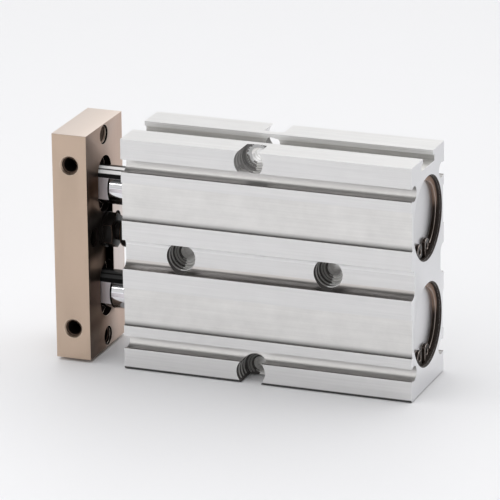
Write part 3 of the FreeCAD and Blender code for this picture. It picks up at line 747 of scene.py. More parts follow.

# %% [markdown]
# ## The body's channel, grooves and slot
# The die leaves a round channel between the bores, four grooves for sensors and a T-slot on top.
# All are the same metal, seen at other angles and with other shadow. One material could serve them
# all, if the room were as full of things as a workshop is. In this plain room each gets its own
# tone instead: painted shade as darker copies of the metal, and painted light as paler ones.

# %% Channel, groove and slot finishes
# Lower corner: a dark copy, painted shade, with runs of painted light. Upper corner: a pale copy.
channel_corner = finish("channel_corner", corner_group, (0.335, 0.318, 0.308), roughness=0.40,
                        metallic=1.0, bump=0.2, Streaks=0.15, Mottle=0.05)
channel_top_light = finish("channel_top_light", grain_foot_shadow_group, (0.95, 0.95, 0.95), roughness=0.55, metallic=0.3,
                     Streaks=0.10, Mottle=0.05)
# The groove's wall gets painted light at its back and painted shade toward its mouth.
groove_wall = finish("groove_wall", groove_group, (0.80, 0.785, 0.77), roughness=0.38, metallic=1.0,
                     bump=0.2, lean=GROOVE_LEAN, Streaks=0.20, Mottle=0.05)
# The slot's lips are a pale copy and its undercut a darker one: painted light and painted shade.
undercut = finish("slot_undercut_shade", grain_foot_shadow_group, (0.82, 0.81, 0.79), roughness=0.5, metallic=0.92,
                  Streaks=0.5, Mottle=0.05)
slot_lip = finish("slot_lip", grain_foot_shadow_group, (0.98, 0.975, 0.97), roughness=0.55, metallic=0.95,
                  Streaks=0.5, Mottle=0.05)
print("channel and slot finishes:", channel_corner.name, channel_top_light.name, groove_wall.name,
      undercut.name, slot_lip.name)

# %% [markdown]
# ## The body's bores and holes
# A hole swallows most of the light that falls into it, and what comes back is the glint of thread
# crests and of the cutter's marks on its floor. Deep shadow could be left to traced light, which
# makes it noisy and too pale in bare metal. So the walls of tapped holes and bores are given as
# dark, dull surfaces, which is painted shade, a little less dark in the top holes. Where the lamps
# would reach, on the lower right of each hole and where the top holes open into the slot, pale
# copies of the metal give a painted highlight.

# %% Bore and hole finishes
bored_wall = finish("bored_wall", ring_group, (0.045, 0.036, 0.032), roughness=0.35, metallic=0.0,
                    bump=0.2, specular=0.12, Streaks=0.5, Mottle=0.05)
tapped_wall = finish("tapped_wall", ring_group, (0.085, 0.080, 0.077), roughness=0.40, metallic=0.0,
                     bump=0.1, specular=0.08, Streaks=0.3, Mottle=0.05)
tapped_top = finish("tapped_wall_top", ring_group, (0.24, 0.235, 0.23), roughness=0.40,
                    metallic=0.0, bump=0.1, specular=0.08, Streaks=0.5, Mottle=0.05)
drilled_wall = finish("drilled_wall", ring_group, (0.86, 0.85, 0.84), roughness=0.42, metallic=0.5,
                      bump=0.4, Streaks=0.4, Mottle=0.05)
open_hole = finish("open_hole_wall", grain_foot_shadow_group, (0.95, 0.95, 0.95), roughness=0.5, metallic=0.3,
                   Streaks=0.1, Mottle=0.05)
hole_glint = finish("hole_floor_lit", ring_group, (0.95, 0.94, 0.92), roughness=0.30, metallic=0.2,
                    bump=0.2, Streaks=0.2, Mottle=0.05)
# Dark crests are painted shade, and pale ones a painted highlight.
thread_crest = finish("thread_crest", mottle_group, (0.34, 0.33, 0.32), roughness=0.35,
                      metallic=0.2, Speckle=0.1, Patches=0.1)
thread_lit = finish("thread_crest_lit", mottle_group, (0.92, 0.91, 0.89), roughness=0.32,
                    metallic=0.5, Speckle=0.1, Patches=0.1)
print("hole finishes:", bored_wall.name, tapped_wall.name, tapped_top.name, drilled_wall.name,
      open_hole.name, hole_glint.name, thread_crest.name, thread_lit.name)

# %% [markdown]
# ## The end plate
# The plate is dyed champagne when it is anodised. Its upper edge and its broken edges look paler,
# because a metal's colour washes out at a glancing angle. The shader does part of this by itself;
# the rest is a paler colour painted on those narrow faces, a painted sheen. The holes and screw
# pockets are given dark colours, which are painted shade.

# %% Plate finishes
champagne = finish("champagne_anodised", mottle_group, (0.59, 0.46, 0.362), roughness=0.42,
                   metallic=1.0, bump=0.15, Speckle=0.08, Patches=0.05)
champagne_top = finish("champagne_top", mottle_group, (0.78, 0.68, 0.61), roughness=0.40,
                       metallic=1.0, bump=0.1, Speckle=0.06, Patches=0.04)
champagne_edge = finish("champagne_edge", rim_group, (0.84, 0.73, 0.63), roughness=0.32,
                        metallic=1.0, Speckle=0.05, Patches=0.03)
plate_inner = finish("plate_inner_face", gap_group, (0.62, 0.525, 0.47), roughness=0.40,
                     metallic=1.0, bump=0.1, specular=0.0, tint=(0.72, 0.58, 0.50, 1), Floor=0.05,
                     Streaks=0.14)
plate_hole = finish("plate_hole_wall", mouth_group, (0.40, 0.31, 0.25), roughness=0.5, metallic=0.0,
                    specular=0.02, Streaks=0.2, Mottle=0.05)
plate_pocket = finish("plate_pocket", mottle_group, (0.010, 0.007, 0.006), roughness=0.5,
                      metallic=0.0, specular=0.04, Speckle=0.1, Patches=0.05)
plate_crest = finish("plate_thread_crest", mottle_group, (0.09, 0.060, 0.045), roughness=0.4,
                     metallic=0.0, specular=0.1, Speckle=0.2, Patches=0.1)
print("plate finishes:", champagne.name, champagne_top.name, champagne_edge.name,
      plate_inner.name, plate_hole.name, plate_pocket.name, plate_crest.name)

# %% [markdown]
# ## Rods
# The rods are ground and hard chromed, so they are near mirrors, with hardly any grain. Their
# spanner flats are milled afterwards and look dull beside the chrome. A fine dark line of painted
# shade marks the shoulder where the cutter ran out. One chrome could serve both rods, but the
# painted strips beside the plate turn round each rod's own centre, and the lower rod is given
# weaker strips, since it sees less of the room.

# %% Rod finishes
STRIP_LIGHT = {"upper": 1.0, "lower": 0.06}
chrome = {side: finish("hard_chrome_" + side, strips_group, (0.80, 0.80, 0.82), roughness=0.07,
                       metallic=1.0, bump=0.0, specular=0.1, Level=LEVELS[side],
                       Light=STRIP_LIGHT[side])
          for side in SIDES}
milled_flat = finish("milled_flat", ring_group, (0.80, 0.76, 0.79), roughness=0.42, metallic=1.0,
                     Streaks=0.12, Mottle=0.10)
shoulder_shade_line = finish("shoulder_shade_line", mottle_group, (0.01, 0.01, 0.01), roughness=0.5, metallic=1.0,
                     Speckle=0.1, Patches=0.1)
print("rod finishes:", [material.name for material in chrome.values()], milled_flat.name,
      shoulder_shade_line.name)

# %% [markdown]
# ## Covers, circlips and the stop
# The covers are turned from bar. The circlips are blackened spring steel, and the screws, the nut
# and the washer are black oxide. The circlips' broken edges get a pale painted highlight, and those
# of the nut and screw a tan painted reflection of the champagne plate. Black could be a plain dark
# colour, but a smooth black mirrors the pale room and turns grey, so its mirror is kept weak.

# %% Cover, circlip and stop finishes
# The covers share the end's painted light, a little lighter toward the table.
turned_cover = finish("turned_aluminium", end_group, (0.64, 0.64, 0.65), roughness=0.30,
                      metallic=1.0, Speckle=0.06, Patches=0.05)
spring_steel = finish("dark_spring_steel", clip_group, (0.052, 0.036, 0.028), roughness=0.30,
                      metallic=0.0, specular=0.10, Streaks=1.2, Mottle=0.5)
# A paler colour on the circlips' broken edges: a painted highlight.
spring_edge = finish("spring_steel_edge", mottle_group, (0.40, 0.34, 0.31), roughness=0.22,
                     metallic=1.0, Speckle=0.1, Patches=0.2)
black_oxide = finish("black_oxide", mottle_group, (0.011, 0.009, 0.008), roughness=0.30,
                     metallic=0.0, specular=0.12, Speckle=0.2, Patches=0.2)
# A tan colour on the stop's broken edges: a painted reflection of the champagne plate.
black_edge = finish("stop_edge_plate_reflection", mottle_group, (0.40, 0.27, 0.20), roughness=0.30,
                    metallic=1.0, Speckle=0.2, Patches=0.3)
print("cover and stop finishes:", turned_cover.name, spring_steel.name, spring_edge.name,
      black_oxide.name, black_edge.name)

# %% [markdown]
# ## Pieces inside the bores
# Seals and bumpers are black rubber, the rod bushes oiled bronze, the guide rings a filled plastic,
# the magnets sintered powder and the piston nuts zinc plated. They hardly show, so a plain colour
# would do; the shared speckle costs one line each and holds up when the part is cut open.

# %% Inner finishes
zinc = finish("zinc_plate", mottle_group, (0.68, 0.68, 0.70), roughness=0.3, metallic=1.0,
              Speckle=0.1, Patches=0.1)
rubber = finish("black_rubber", mottle_group, (0.016, 0.016, 0.016), roughness=0.6, metallic=0.0,
                Speckle=0.2, Patches=0.1)
bronze = finish("oiled_bronze", mottle_group, (0.50, 0.33, 0.17), roughness=0.4, metallic=1.0,
                Speckle=0.15, Patches=0.1)
plastic = finish("guide_ring_plastic", mottle_group, (0.22, 0.17, 0.10), roughness=0.5,
                 metallic=0.0, Speckle=0.1, Patches=0.1)
magnet = finish("sintered_magnet", mottle_group, (0.06, 0.06, 0.06), roughness=0.5, metallic=0.5,
                Speckle=0.2, Patches=0.1)
print("inner finishes:", zinc.name, rubber.name, bronze.name, plastic.name, magnet.name)

# %% [markdown]
# ## Dress every piece
# Each piece has one main finish, found by its name without its upper or lower ending. The finishes
# could be given out by hand in the material list, but a table shows at a glance what is made of
# what.

# %% Main finish of every piece
MATERIALS = {
    "body": satin_body, "end_plate": champagne, "front_cover": turned_cover,
    "rear_cover": turned_cover, "piston": turned_cover, "front_circlip": spring_steel,
    "rear_circlip": spring_steel, "rod_bush": bronze, "rod_seal": rubber,
    "front_cover_ring": rubber, "rear_cover_ring": rubber, "piston_seal": rubber,
    "front_bumper": rubber, "rear_bumper": rubber, "stop_bumper": rubber, "wear_ring": plastic,
    "magnet_ring": magnet, "piston_nut": zinc, "stop_washer": black_oxide, "rod_screw": black_oxide,
    "stop_screw": black_oxide, "stop_lock_nut": black_oxide,
}


def main_finish(node):
    """The finish of a piece, by its name."""
    stem, _, side = node.rpartition("_")
    if stem == "piston_rod":
        return chrome[side]
    return MATERIALS[stem if side in SIDES else node]


for node_name, item in nodes.items():
    item.data.materials.clear()
    item.data.materials.append(main_finish(node_name))
print("pieces dressed:", len(nodes), "in", len({main_finish(node).name for node in nodes}),
      "finishes")

# %% [markdown]
# ## Faces with a finish of their own
# One solid carries several finishes: bores are turned smooth, holes are tapped and full of shadow,
# the label recesses keep a warmer skin. The faces could be picked by hand and given a material, but
# that would be lost with the next version of the model. Here each face is sorted by where it lies
# and which way it looks, and only its material number changes. First the holes are looked up.

# %% Where the holes are
record = frame["record"]
mounts = {mount["name"]: mount for mount in record["mounts"]}
UNIT_AXES = (Vector((1, 0, 0)), Vector((0, 1, 0)), Vector((0, 0, 1)))


def pattern_places(mount):
    """The centres of a two-hole pattern, from its mount in the record."""
    normal = Vector(mount["axis"])
    across = [axis for axis in UNIT_AXES if abs(axis.dot(normal)) < 0.5]
    dims = mount["dims"]
    if "spacing_x_mm" in dims:
        step = across[0] * dims["spacing_x_mm"] * MM / 2
    else:
        step = across[1] * dims["spacing_y_mm"] * MM / 2
    centre = Vector(mount["pos_m"])
    return [centre - step, centre + step]


body_taps = pattern_places(mounts["side_holes"]) + pattern_places(mounts["edge_holes"])
plate_through = pattern_places(mounts["plate_end_taps"]) + pattern_places(mounts["plate_mid_taps"])
plate_side = [mount for name, mount in mounts.items() if name.startswith(("plate_near", "plate_far"))]
ports = [mounts["front_port"], mounts["rear_port"]]
print("tapped holes:", len(body_taps), "in the body,", len(plate_through) + len(plate_side),
      "in the plate; air ports:", len(ports))


# %% Sorting the faces
def sort_faces(item, choose):
    """Gives each face of a piece the material that choose names for its centre and normal."""
    mesh = item.data
    counts = {}
    for face in mesh.polygons:
        material = choose(item.matrix_world @ face.center, face.normal)
        if material is None:
            continue
        if material.name not in mesh.materials:
            mesh.materials.append(material)
        face.material_index = mesh.materials.find(material.name)
        counts[material.name] = counts.get(material.name, 0) + 1
    print(item.name, counts)


FLUSH = 0.05 * MM      # faces this near to a plane lie on it
BESIDE = 0.1 * MM      # faces this near to a hole's wall belong to it

# %% [markdown]
# ## Faces of the body
# The body has most kinds of face, so its sorting is split into tests, one for each feature. A test
# knows its faces by their place and their normal, and leaves all others to the next test. One long
# test could do it too, but short ones can be read and mended one at a time.

# %% Ends and bores of the body
BORE_REACH = 18.3 * MM     # a little more than the circlip grooves, the widest part of a bore
SIDE_WALL = 1.6 * MM       # bores keep further than this from a side face


def end_test(place, normal):
    """The machined ends."""
    end = min(place.x - body_low.x, body_high.x - place.x)
    return faced_end if abs(normal.x) > 0.95 and end < FLUSH else None


def bore_test(place, normal):
    """Everything inside a bore."""
    from_bore = min(math.hypot(place.y, place.z - level) for level in LEVELS.values())
    return bored_wall if from_bore < BORE_REACH and abs(place.y) < body_high.y - SIDE_WALL else None


print("bores reach less than", round(BORE_REACH / MM, 1), "mm from their middle")

# %% Tapped holes of the body
TAP_RADIUS = 6.2 * MM
DRILL_RADIUS = 3.0 * MM
SLOT_HALF = 8.0 * MM       # half the T-slot's width
SLOT_DEPTH = 4.7 * MM
SLOT_SIDE = SLOT_HALF + 1.0 * MM       # the edge holes lie open to the slot as far out as this,
OPEN_TOP = SLOT_DEPTH + BESIDE         # and as far down as this
GLINT_SHIFT = 0.5 * MM     # the lit part of a hole's floor starts this far off its centre


def hole_test(place, normal):
    """The walls and floors of the tapped holes, and of the clearance holes behind them."""
    for tap in body_taps:
        reach = math.hypot(place.x - tap.x, place.z - tap.z)
        if reach > TAP_RADIUS + BESIDE or abs(normal.y) > 0.95:
            continue
        in_top = tap.z > LEVELS["upper"]
        under_top = body_high.z - place.z
        # Where a top hole opens into the slot, its wall gets a pale copy of the metal: painted light.
        if in_top and (abs(place.y) < SLOT_SIDE or place.y > 0 and under_top < OPEN_TOP):
            return open_hole
        # The lower right of a hole faces up into the light and gets a painted glint.
        low_right = place.x > tap.x - GLINT_SHIFT and place.z < tap.z - GLINT_SHIFT
        if abs(normal.y) > 0.6 and low_right:
            return hole_glint
        if reach < DRILL_RADIUS + BESIDE:
            return drilled_wall
        return tapped_top if in_top else tapped_wall
    return None


print("tapped holes: radius", round(TAP_RADIUS / MM, 1), "mm, drilled on at",
      round(DRILL_RADIUS / MM, 1), "mm")

# %% Channel and recesses of the body
MIDDLE = (LEVELS["upper"] + LEVELS["lower"]) / 2
CHANNEL_HALF = 6.2 * MM
CORNER_SLANT = 0.12        # how much a round corner's normal leans up or down
RECESS_DEPTH = 1.0 * MM


def channel_test(place, normal):
    """The rounded corners of the channel between the bores."""
    if abs(place.z - MIDDLE) > CHANNEL_HALF + BESIDE or abs(normal.x) > 0.1:
        return None
    if abs(normal.z) < CORNER_SLANT:
        return None
    return channel_corner if normal.z > 0 else channel_top_light


def recess_test(place, normal):
    """The floors of the label recesses and the ledges round them."""
    depth = body_high.y - abs(place.y)
    if abs(normal.y) > 0.99 and abs(depth - RECESS_DEPTH) < FLUSH:
        return label_recess
    if abs(normal.z) > 0.99 and 0.0 < depth < RECESS_DEPTH:
        return ledge
    return None


print("the channel's middle is", round(MIDDLE / MM, 1), "mm up")

# %% Grooves and slot of the body
GROOVE_INSET = 11.3 * MM       # from a narrow side of the body to the middle of a groove
GROOVE_RADIUS = 3.2 * MM
GROOVE_BAND = (GROOVE_INSET - GROOVE_RADIUS, GROOVE_INSET + GROOVE_RADIUS)
GROOVE_DEPTH = 6.2 * MM
GROOVE_LIP = 1.3 * MM          # thickness of the lips beside a groove's mouth
SLOT_LIP = 2.0 * MM            # thickness of the lips over the slot
SLOT_BOTTOM = 4.0 * MM         # what lies deeper in the slot is its floor


def groove_test(place, normal):
    """The walls of the sensor grooves."""
    depth = body_high.y - abs(place.y)
    edge = min(place.z - body_low.z, body_high.z - place.z)
    in_band = GROOVE_BAND[0] < edge < GROOVE_BAND[1]
    in_depth = GROOVE_LIP - FLUSH < depth < GROOVE_DEPTH + BESIDE
    return groove_wall if in_band and in_depth else None


def slot_test(place, normal):
    """The lips and the undercut of the T-slot."""
    under = body_high.z - place.z
    if not FLUSH < under < SLOT_DEPTH + BESIDE or abs(place.y) > SLOT_SIDE:
        return None
    if normal.y < -0.9:
        return slot_lip if under < SLOT_LIP + FLUSH else undercut
    return undercut if under > SLOT_BOTTOM else None


print("sensor grooves lie", [round(edge / MM, 1) for edge in GROOVE_BAND],
      "mm from the narrow sides")

# %% Sort the body's faces
BODY_TESTS = (end_test, bore_test, hole_test, channel_test, recess_test, groove_test, slot_test)


def body_finish(place, normal):
    """The finish that the first test to know a face of the body gives it."""
    for test in BODY_TESTS:
        material = test(place, normal)
        if material:
            return material
    return None


sort_faces(nodes["body"], body_finish)

# %% [markdown]
# ## Faces of the plate and the rods
# The plate's holes, its inner face and its upper edge have finishes of their own, and what is left
# inside it is the pockets for the screws. On the rods only the spanner flats look straight to the
# side, so the normal alone tells them from the chrome. Separate pieces for the flats would be
# simpler to colour, but the solid already has them.

# %% Sort the plate's faces
PLATE_TAP = 3.4 * MM       # radius of the plate's holes
BREAK_ROOM = 0.6 * MM      # the walls of the blind holes start this far in
POCKET_ROOM = mm(0.1, 1.0, 0.5)    # what lies further in than this in X, Y and Z is a pocket


def in_plate_hole(place):
    """Whether a place lies on the wall of a through hole or of a blind hole in the plate."""
    across = [math.hypot(place.y - tap.y, place.z - tap.z) for tap in plate_through]
    if abs(place.y) < plate_high.y - BREAK_ROOM:
        across += [math.hypot(place.x - mount["pos_m"][0], place.z - mount["pos_m"][2])
                   for mount in plate_side]
    return min(across) < PLATE_TAP + FLUSH


def plate_finish(place, normal):
    """The finish of a face of the end plate."""
    if in_plate_hole(place):
        return plate_hole
    if abs(normal.x) > 0.99 and abs(place.x - PLATE_FACE) < FLUSH:
        return plate_inner
    if normal.z > 0.99 and place.z > plate_high.z - FLUSH:
        return champagne_top
    within = [low + room < value < high - room for low, value, high, room
              in zip(plate_low, place, plate_high, POCKET_ROOM)]
    return plate_pocket if all(within) else None


sort_faces(nodes["end_plate"], plate_finish)


# %% Sort the rods' faces
def rod_finish(_, normal):
    """Milled on the spanner flats and chromed elsewhere."""
    return milled_flat if abs(normal.y) > 0.99 else None


for side in SIDES:
    sort_faces(nodes["piston_rod_" + side], rod_finish)

# %% [markdown]
# ## Softened edges
# A machined edge is never a knife edge: it is broken by a fraction of a millimetre, and that narrow
# band catches the light. Every edge could be rounded in the solid, which makes it heavy for so
# little. A bevel modifier does it in passing, without touching the solid, and gives its new faces a
# brighter material of their own, a painted highlight. The shading has to stay crisp over the edges
# that are left, and a small set of geometry nodes sees to that.

# %% Crisp shading
CREASE = 32.0          # degrees between two faces that still shade as one surface


def build_crease():
    """Smooth shading everywhere except over edges that turn more than CREASE."""
    group = bpy.data.node_groups.new("crease_by_angle", "GeometryNodeTree")
    for direction in ("INPUT", "OUTPUT"):
        group.interface.new_socket("Geometry", in_out=direction, socket_type="NodeSocketGeometry")
    given = group.nodes.new("NodeGroupInput")
    made = group.nodes.new("NodeGroupOutput")
    faces = group.nodes.new("GeometryNodeSetShadeSmooth")
    edges = group.nodes.new("GeometryNodeSetShadeSmooth")
    edges.domain = "EDGE"
    edges.inputs["Shade Smooth"].default_value = False
    turn_angle = group.nodes.new("GeometryNodeInputMeshEdgeAngle")
    sharp = group.nodes.new("FunctionNodeCompare")
    sharp.data_type = "FLOAT"
    sharp.operation = "GREATER_THAN"
    sharp.inputs["B"].default_value = math.radians(CREASE)
    group.links.new(given.outputs[0], faces.inputs["Geometry"])
    group.links.new(faces.outputs[0], edges.inputs["Geometry"])
    group.links.new(turn_angle.outputs["Unsigned Angle"], sharp.inputs["A"])
    group.links.new(sharp.outputs["Result"], edges.inputs["Selection"])
    group.links.new(edges.outputs[0], made.inputs[0])
    return group


crease_group = build_crease()
print("edges stay crisp above", CREASE, "degrees")


# %% One edge break
def break_edges(item, width, material):
    """Cuts a narrow flat of its own material along the sharp edges of a piece."""
    flatten = item.modifiers.new("whole_faces", "DECIMATE")
    flatten.decimate_type = "DISSOLVE"
    flatten.angle_limit = math.radians(0.4)
    flatten.delimit = {"MATERIAL"}
    bevel = item.modifiers.new("broken_edge", "BEVEL")
    bevel.width = width
    bevel.segments = 1
    bevel.limit_method = "ANGLE"
    bevel.angle_limit = math.radians(CREASE)
    bevel.use_clamp_overlap = True
    item.data.materials.append(material)
    bevel.material = len(item.data.materials) - 1


# Pieces whose edges show, by the start of their names: the width of the flat and its finish. Each
# edge finish is a painted highlight, and on the stop's nut and screw a tan painted reflection.
EDGE_BREAKS = {
    "body": (0.32 * MM, highlight_edge), "end_plate": (0.30 * MM, champagne_edge),
    "front_circlip": (0.15 * MM, spring_edge), "rear_circlip": (0.15 * MM, spring_edge),
    "stop_lock_nut": (0.25 * MM, black_edge), "stop_screw": (0.25 * MM, black_edge),
}
print("edge breaks in mm:", {name: round(width / MM, 2) for name, (width, _) in EDGE_BREAKS.items()})

# %% Soften every piece
WELD_REACH = 0.002 * MM


def soften(item, name):
    """Joins a piece's seams, breaks its edges if they show, and shades it crisply."""
    weld = item.modifiers.new("weld", "WELD")
    weld.merge_threshold = WELD_REACH
    edge = next((edge for start, edge in EDGE_BREAKS.items() if name.startswith(start)), None)
    if edge:
        break_edges(item, *edge)
    crease = item.modifiers.new("crease", "NODES")
    crease.node_group = crease_group
    return edge is not None


broken = [node_name for node_name, item in nodes.items() if soften(item, node_name)]
print("pieces with broken edges:", len(broken), "of", len(nodes))

# %% [markdown]
# ## Threads
# A tapped hole shows its thread as a spiral of fine ridges, and its floor shows the spiral mark of
# the cutter. The solids leave the holes plain. A striped bump would look right only from far off,
# so each ridge is a real spiral here: a small three-sided section, carried round the hole's axis.
# Where a hole breaks out through the side of the body, the ridge stops at the break.

# %% A ridge's section
STEPS = 40             # sections in one turn of a ridge
ROOT_DEPTH = 0.05 * MM     # the ridge starts this far inside the wall, so no gap shows


def ridge_section(centre, along, turn, path, half, crest):
    """After a number of turns: the section's corners, a point in the wall behind, and the way out."""
    side = Vector((0, 0, 1)) if abs(along.z) < 0.5 else Vector((1, 0, 0))
    angle = 2 * math.pi * turn
    out = side * math.cos(angle) + along.cross(side) * math.sin(angle)
    radius, depth, (normal_out, normal_along) = path(turn)
    normal = out * normal_out + along * normal_along
    tangent = along * -normal_out + out * normal_along
    root = centre + along * depth + out * radius - normal * ROOT_DEPTH
    return [root - tangent * half, root + normal * (crest + ROOT_DEPTH), root + tangent * half], \
        root - normal * crest, out


print("sections in one turn:", STEPS)


# %% A spiral ridge
def spiral_ridge(name, body, centre, axis, path, turns, half, crest, materials,
                 inside=None, choose=None):
    """A ridge along path, which gives radius, depth and the wall's normal for a number of turns."""
    along = Vector(axis).normalized()
    points, faces, kinds = [], [], []
    previous = None
    for step in range(int(turns * STEPS) + 1):
        turn = step / STEPS
        corners, behind, out = ridge_section(Vector(centre), along, turn, path, half, crest)
        if inside and not inside(behind):
            previous = None
            continue
        index = len(points)
        points += corners
        if previous is not None:
            for corner, following in ((0, 1), (1, 2), (2, 0)):
                faces.append((previous + corner, previous + following, index + following,
                              index + corner))
                kinds.append(choose(turn, out) if choose else 0)
        previous = index
    ridge = mesh_piece(name, points, faces)
    for material in materials:
        ridge.data.materials.append(material)
    ridge.data.polygons.foreach_set("material_index", kinds)
    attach(ridge, body)
    return ridge


def thread_ridge(name, body, start, axis, thread, length, materials, inside=None, choose=None):
    """A screw thread's ridge on the wall of a round hole."""
    radius, crest, pitch, half = (thread[key] for key in ("radius", "crest", "pitch", "half"))
    return spiral_ridge(name, body, start, axis, lambda turn: (radius, turn * pitch, (-1, 0)),
                        length / pitch, half, crest, materials, inside, choose)


PORT_START = 15.2 * MM     # from the middle of the body, just inside the port's mouth
PORT_LENGTH = 8.6 * MM
PORT_THREAD = {"radius": 4.3 * MM, "crest": 0.4 * MM, "pitch": 0.9 * MM, "half": 0.27 * MM}
for number, port in enumerate(ports):
    start = Vector((port["pos_m"][0], PORT_START, port["pos_m"][2]))
    thread_ridge("port_thread_%d" % number, "cylinder", start, (0, -1, 0), PORT_THREAD, PORT_LENGTH,
                 (thread_crest,))
print("port threads:", len(ports))

# %% [markdown]
# ## Where the body's metal is
# The edge holes break out through the narrow sides, the T-slot and the sensor grooves, and a ridge
# that went on there would hang in the air. It could be cut off with a boolean, which is slow and
# leaves rough ends. Here each step of the spiral asks whether there is metal behind it.

# %% Metal behind a ridge
WALL_LEAST = 0.2 * MM      # a ridge keeps this far from the faces of the body
MARK_LEAST = 0.7 * MM      # and the marks on a hole's floor this far from its narrow sides


def in_wall(point):
    """Whether a point of the body lies in metal, clear of the side grooves and the slot."""
    edge = min(point.z - body_low.z, body_high.z - point.z)
    deep = min(point.y - body_low.y, body_high.y - point.y)
    in_slot = body_high.z - point.z < SLOT_DEPTH and abs(point.y) < SLOT_HALF
    in_groove = GROOVE_BAND[0] < edge < GROOVE_BAND[1] and deep < GROOVE_DEPTH
    open_top = body_high.z - point.z < OPEN_TOP and point.y > 0
    return min(edge, deep) > WALL_LEAST and not (in_slot or in_groove or open_top)


def below_slot(point):
    """Whether a point lies in the body, and either under the slot's floor or in the near wall."""
    edge = min(point.z - body_low.z, body_high.z - point.z)
    return edge > MARK_LEAST and (body_high.z - point.z > OPEN_TOP or point.y < -SLOT_SIDE)


def low_right_wall(_, out):
    """1 on a hole's lower right, which faces up into the light and gets a painted highlight; else 0.
    """
    return int(out.z < -0.25 and out.x > -0.30)


print("middle of the body is metal:", in_wall(Vector((0, 0, MIDDLE))))

# %% [markdown]
# ## Threads in the body
# Each mounting hole is tapped from both sides and drilled right through at a smaller size. Every
# turn of the fine thread could be made, but seen from a little way off it blurs to plain grey. So
# fewer ridges stand in for it here, with a coarser pitch than the real thread's and about half its
# height. They are dark, which is painted shade, and given a pale colour where they face up into
# the light, which is a painted highlight.

# %% Threads of the mounting holes
CHANNEL_DEPTH = 4.0 * MM   # the side holes start in the channel, this far in
TAP_DEPTH = 10.2 * MM
THREAD_START = 0.5 * MM    # the ridge starts this far inside a hole's mouth,
THREAD_SHORT = 0.7 * MM    # and is this much shorter than the hole is deep
TAP_THREAD = {"radius": TAP_RADIUS, "crest": 0.42 * MM, "pitch": 2.8 * MM, "half": 2.8 * MM * 0.14}
FACES = (("near", -1), ("far", 1))
# The dark crest colour is painted shade, and the pale one a painted highlight.
CRESTS = (thread_crest, thread_lit)

for number, place in enumerate(body_taps):
    skip = CHANNEL_DEPTH if number < 2 else 0
    for face_name, face in FACES:
        start = Vector((place.x, (body_high.y - skip - THREAD_START) * face, place.z))
        thread_ridge("mounting_thread_%d_%s" % (number, face_name), "cylinder", start, (0, -face, 0),
                     TAP_THREAD, TAP_DEPTH - skip - THREAD_SHORT, CRESTS, in_wall,
                     low_right_wall)
print("mounting threads:", len(body_taps) * len(FACES))

# %% [markdown]
# ## Cutter marks in the holes
# A drill leaves a spiral mark on the conical floor of a hole, and rings down its wall. They could be
# drawn in the colour alone, but a raised mark also catches the light. The same spiral as for a
# thread does it: on the floor it winds inward and sinks with the cone. The floor marks take the
# same painted shade and highlight as the threads, and the rings in the drilled hole are all pale,
# a painted highlight.

# %% Cutter marks in the mounting holes
FLOOR_DEPTH = TAP_DEPTH + BESIDE
MARK_TURNS = 2.6
MARK_STEP = 0.95 * MM      # the mark moves this much inward in one turn
MARK_HALF = 0.40 * MM
MARK_CREST = 0.26 * MM
CONE_FALL = 0.5            # how far the conical floor goes in, for each unit toward its centre
DRILL_START = 2.0 * MM     # the rings in the drilled hole start this far past the floor
DRILL_LENGTH = 5.0 * MM
DRILL_MARKS = {"radius": DRILL_RADIUS, "crest": 0.22 * MM, "pitch": 2.4 * MM, "half": 2.4 * MM * 0.14}


def floor_path(turn):
    """The cutter's spiral mark on the conical floor of a tapped hole."""
    inward = MARK_STEP * turn
    slant = math.hypot(1, CONE_FALL)
    return TAP_RADIUS - MARK_HALF - inward, inward * CONE_FALL, (-CONE_FALL / slant, -1 / slant)


for number, place in enumerate(body_taps):
    for face_name, face in FACES:
        floor_place = (place.x, (body_high.y - FLOOR_DEPTH) * face, place.z)
        drill_place = (place.x, (body_high.y - FLOOR_DEPTH - DRILL_START) * face, place.z)
        spiral_ridge("hole_floor_%d_%s" % (number, face_name), "cylinder", floor_place,
                     (0, -face, 0), floor_path, MARK_TURNS, MARK_HALF, MARK_CREST, CRESTS,
                     below_slot, low_right_wall)
        thread_ridge("drill_marks_%d_%s" % (number, face_name), "cylinder", drill_place,
                     (0, -face, 0), DRILL_MARKS, DRILL_LENGTH, (thread_lit,),
                     below_slot)
print("floor and drill marks:", 2 * len(body_taps) * len(FACES))

# %% [markdown]
# ## Threads in the end plate
# The plate's holes are tapped through its anodised skin. Only the first turn at the mouth catches a
# little light; deeper turns are as dark as the hole. One material for the whole ridge would light
# the hole from within, so the first turn has its own, a little lighter, as painted light, and the
# deeper turns take the hole's painted shade. The two middle holes lie in the gap's shadow and stay
# dark altogether.

# %% Threads of the plate
PLATE_THREAD = {"radius": PLATE_TAP, "crest": 0.4 * MM, "pitch": 1.25 * MM, "half": 1.25 * MM * 0.30}
SIDE_START, SIDE_LENGTH = mm(0.8, 9.0)         # inside a blind hole's mouth
THROUGH_START, THROUGH_LENGTH = mm(1.2, 12.4)  # inside a through hole's mouth


def past_first_turn(turn, _):
    """0 on a thread's first turn, at the mouth of the hole, and 1 deeper."""
    return int(turn > 1.1)


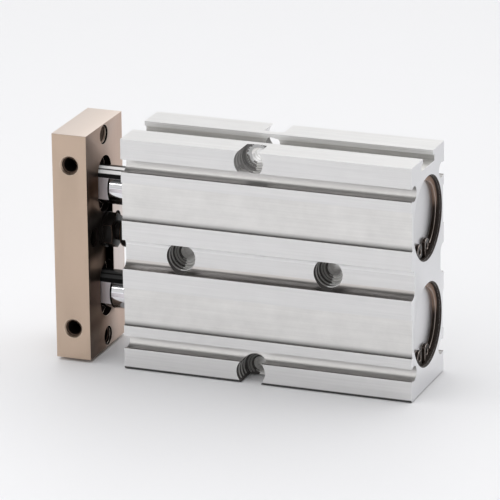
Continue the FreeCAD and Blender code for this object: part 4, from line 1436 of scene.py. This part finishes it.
for number, mount in enumerate(plate_side):
    x, y, z = mount["pos_m"]
    face = math.copysign(1, y)
    start = Vector((x, (plate_high.y - SIDE_START) * face, z))
    thread_ridge("plate_side_thread_%d" % number, "rod_assembly", start, (0, -face, 0), PLATE_THREAD,
                 SIDE_LENGTH, (plate_crest, plate_hole), None, past_first_turn)
for number, place in enumerate(plate_through):
    crests = (plate_crest if number < 2 else plate_hole, plate_hole)
    start = Vector((PLATE_FACE - THROUGH_START, place.y, place.z))
    thread_ridge("plate_thread_%d" % number, "rod_assembly", start, (-1, 0, 0), PLATE_THREAD,
                 THROUGH_LENGTH, crests, None, past_first_turn)
print("plate threads:", len(plate_side) + len(plate_through))

# %% [markdown]
# ## Shade lines on the rods
# The spanner flats end against the full round of the rod where the cutter ran out, and that
# shoulder lies in shade as a narrow dark line. It could be cut as a groove, but it is far too fine
# for the solids. A thin black band round the rod stands for it as painted shade, and leaves out
# the rod's top, where the line doesn't show against the light.

# %% Shade lines at the flats
FLAT_END = PLATE_FACE + 4.4 * MM       # where the flats stop
LINE_WIDTH = 0.75 * MM
PROUD = 0.03 * MM      # the band stands this far off the chrome
RING_STEPS = 96
LINE_TOP = 0.60        # the line stops this far up the rod, as a share of its radius


def band(name, body, start, level, radius, width, material):
    """A thin open band round an axis along X."""
    points, faces = [], []
    for step in range(RING_STEPS):
        angle = 2 * math.pi * step / RING_STEPS
        y, z = radius * math.cos(angle), level + radius * math.sin(angle)
        points += [(start, y, z), (start + width, y, z)]
        following = (step + 1) % RING_STEPS
        if math.sin(angle) < LINE_TOP:
            faces.append((2 * step, 2 * step + 1, 2 * following + 1, 2 * following))
    ring = mesh_piece(name, points, faces, smooth=True)
    ring.data.materials.append(material)
    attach(ring, body)
    return ring


# Each band is a black sheet of painted shade at the shoulder of the flats.
for side in SIDES:
    band("rod_shoulder_shade_" + side, "rod_assembly", FLAT_END, LEVELS[side], ROD_RADIUS + PROUD, LINE_WIDTH,
         shoulder_shade_line)
print("relief lines:", len(SIDES))
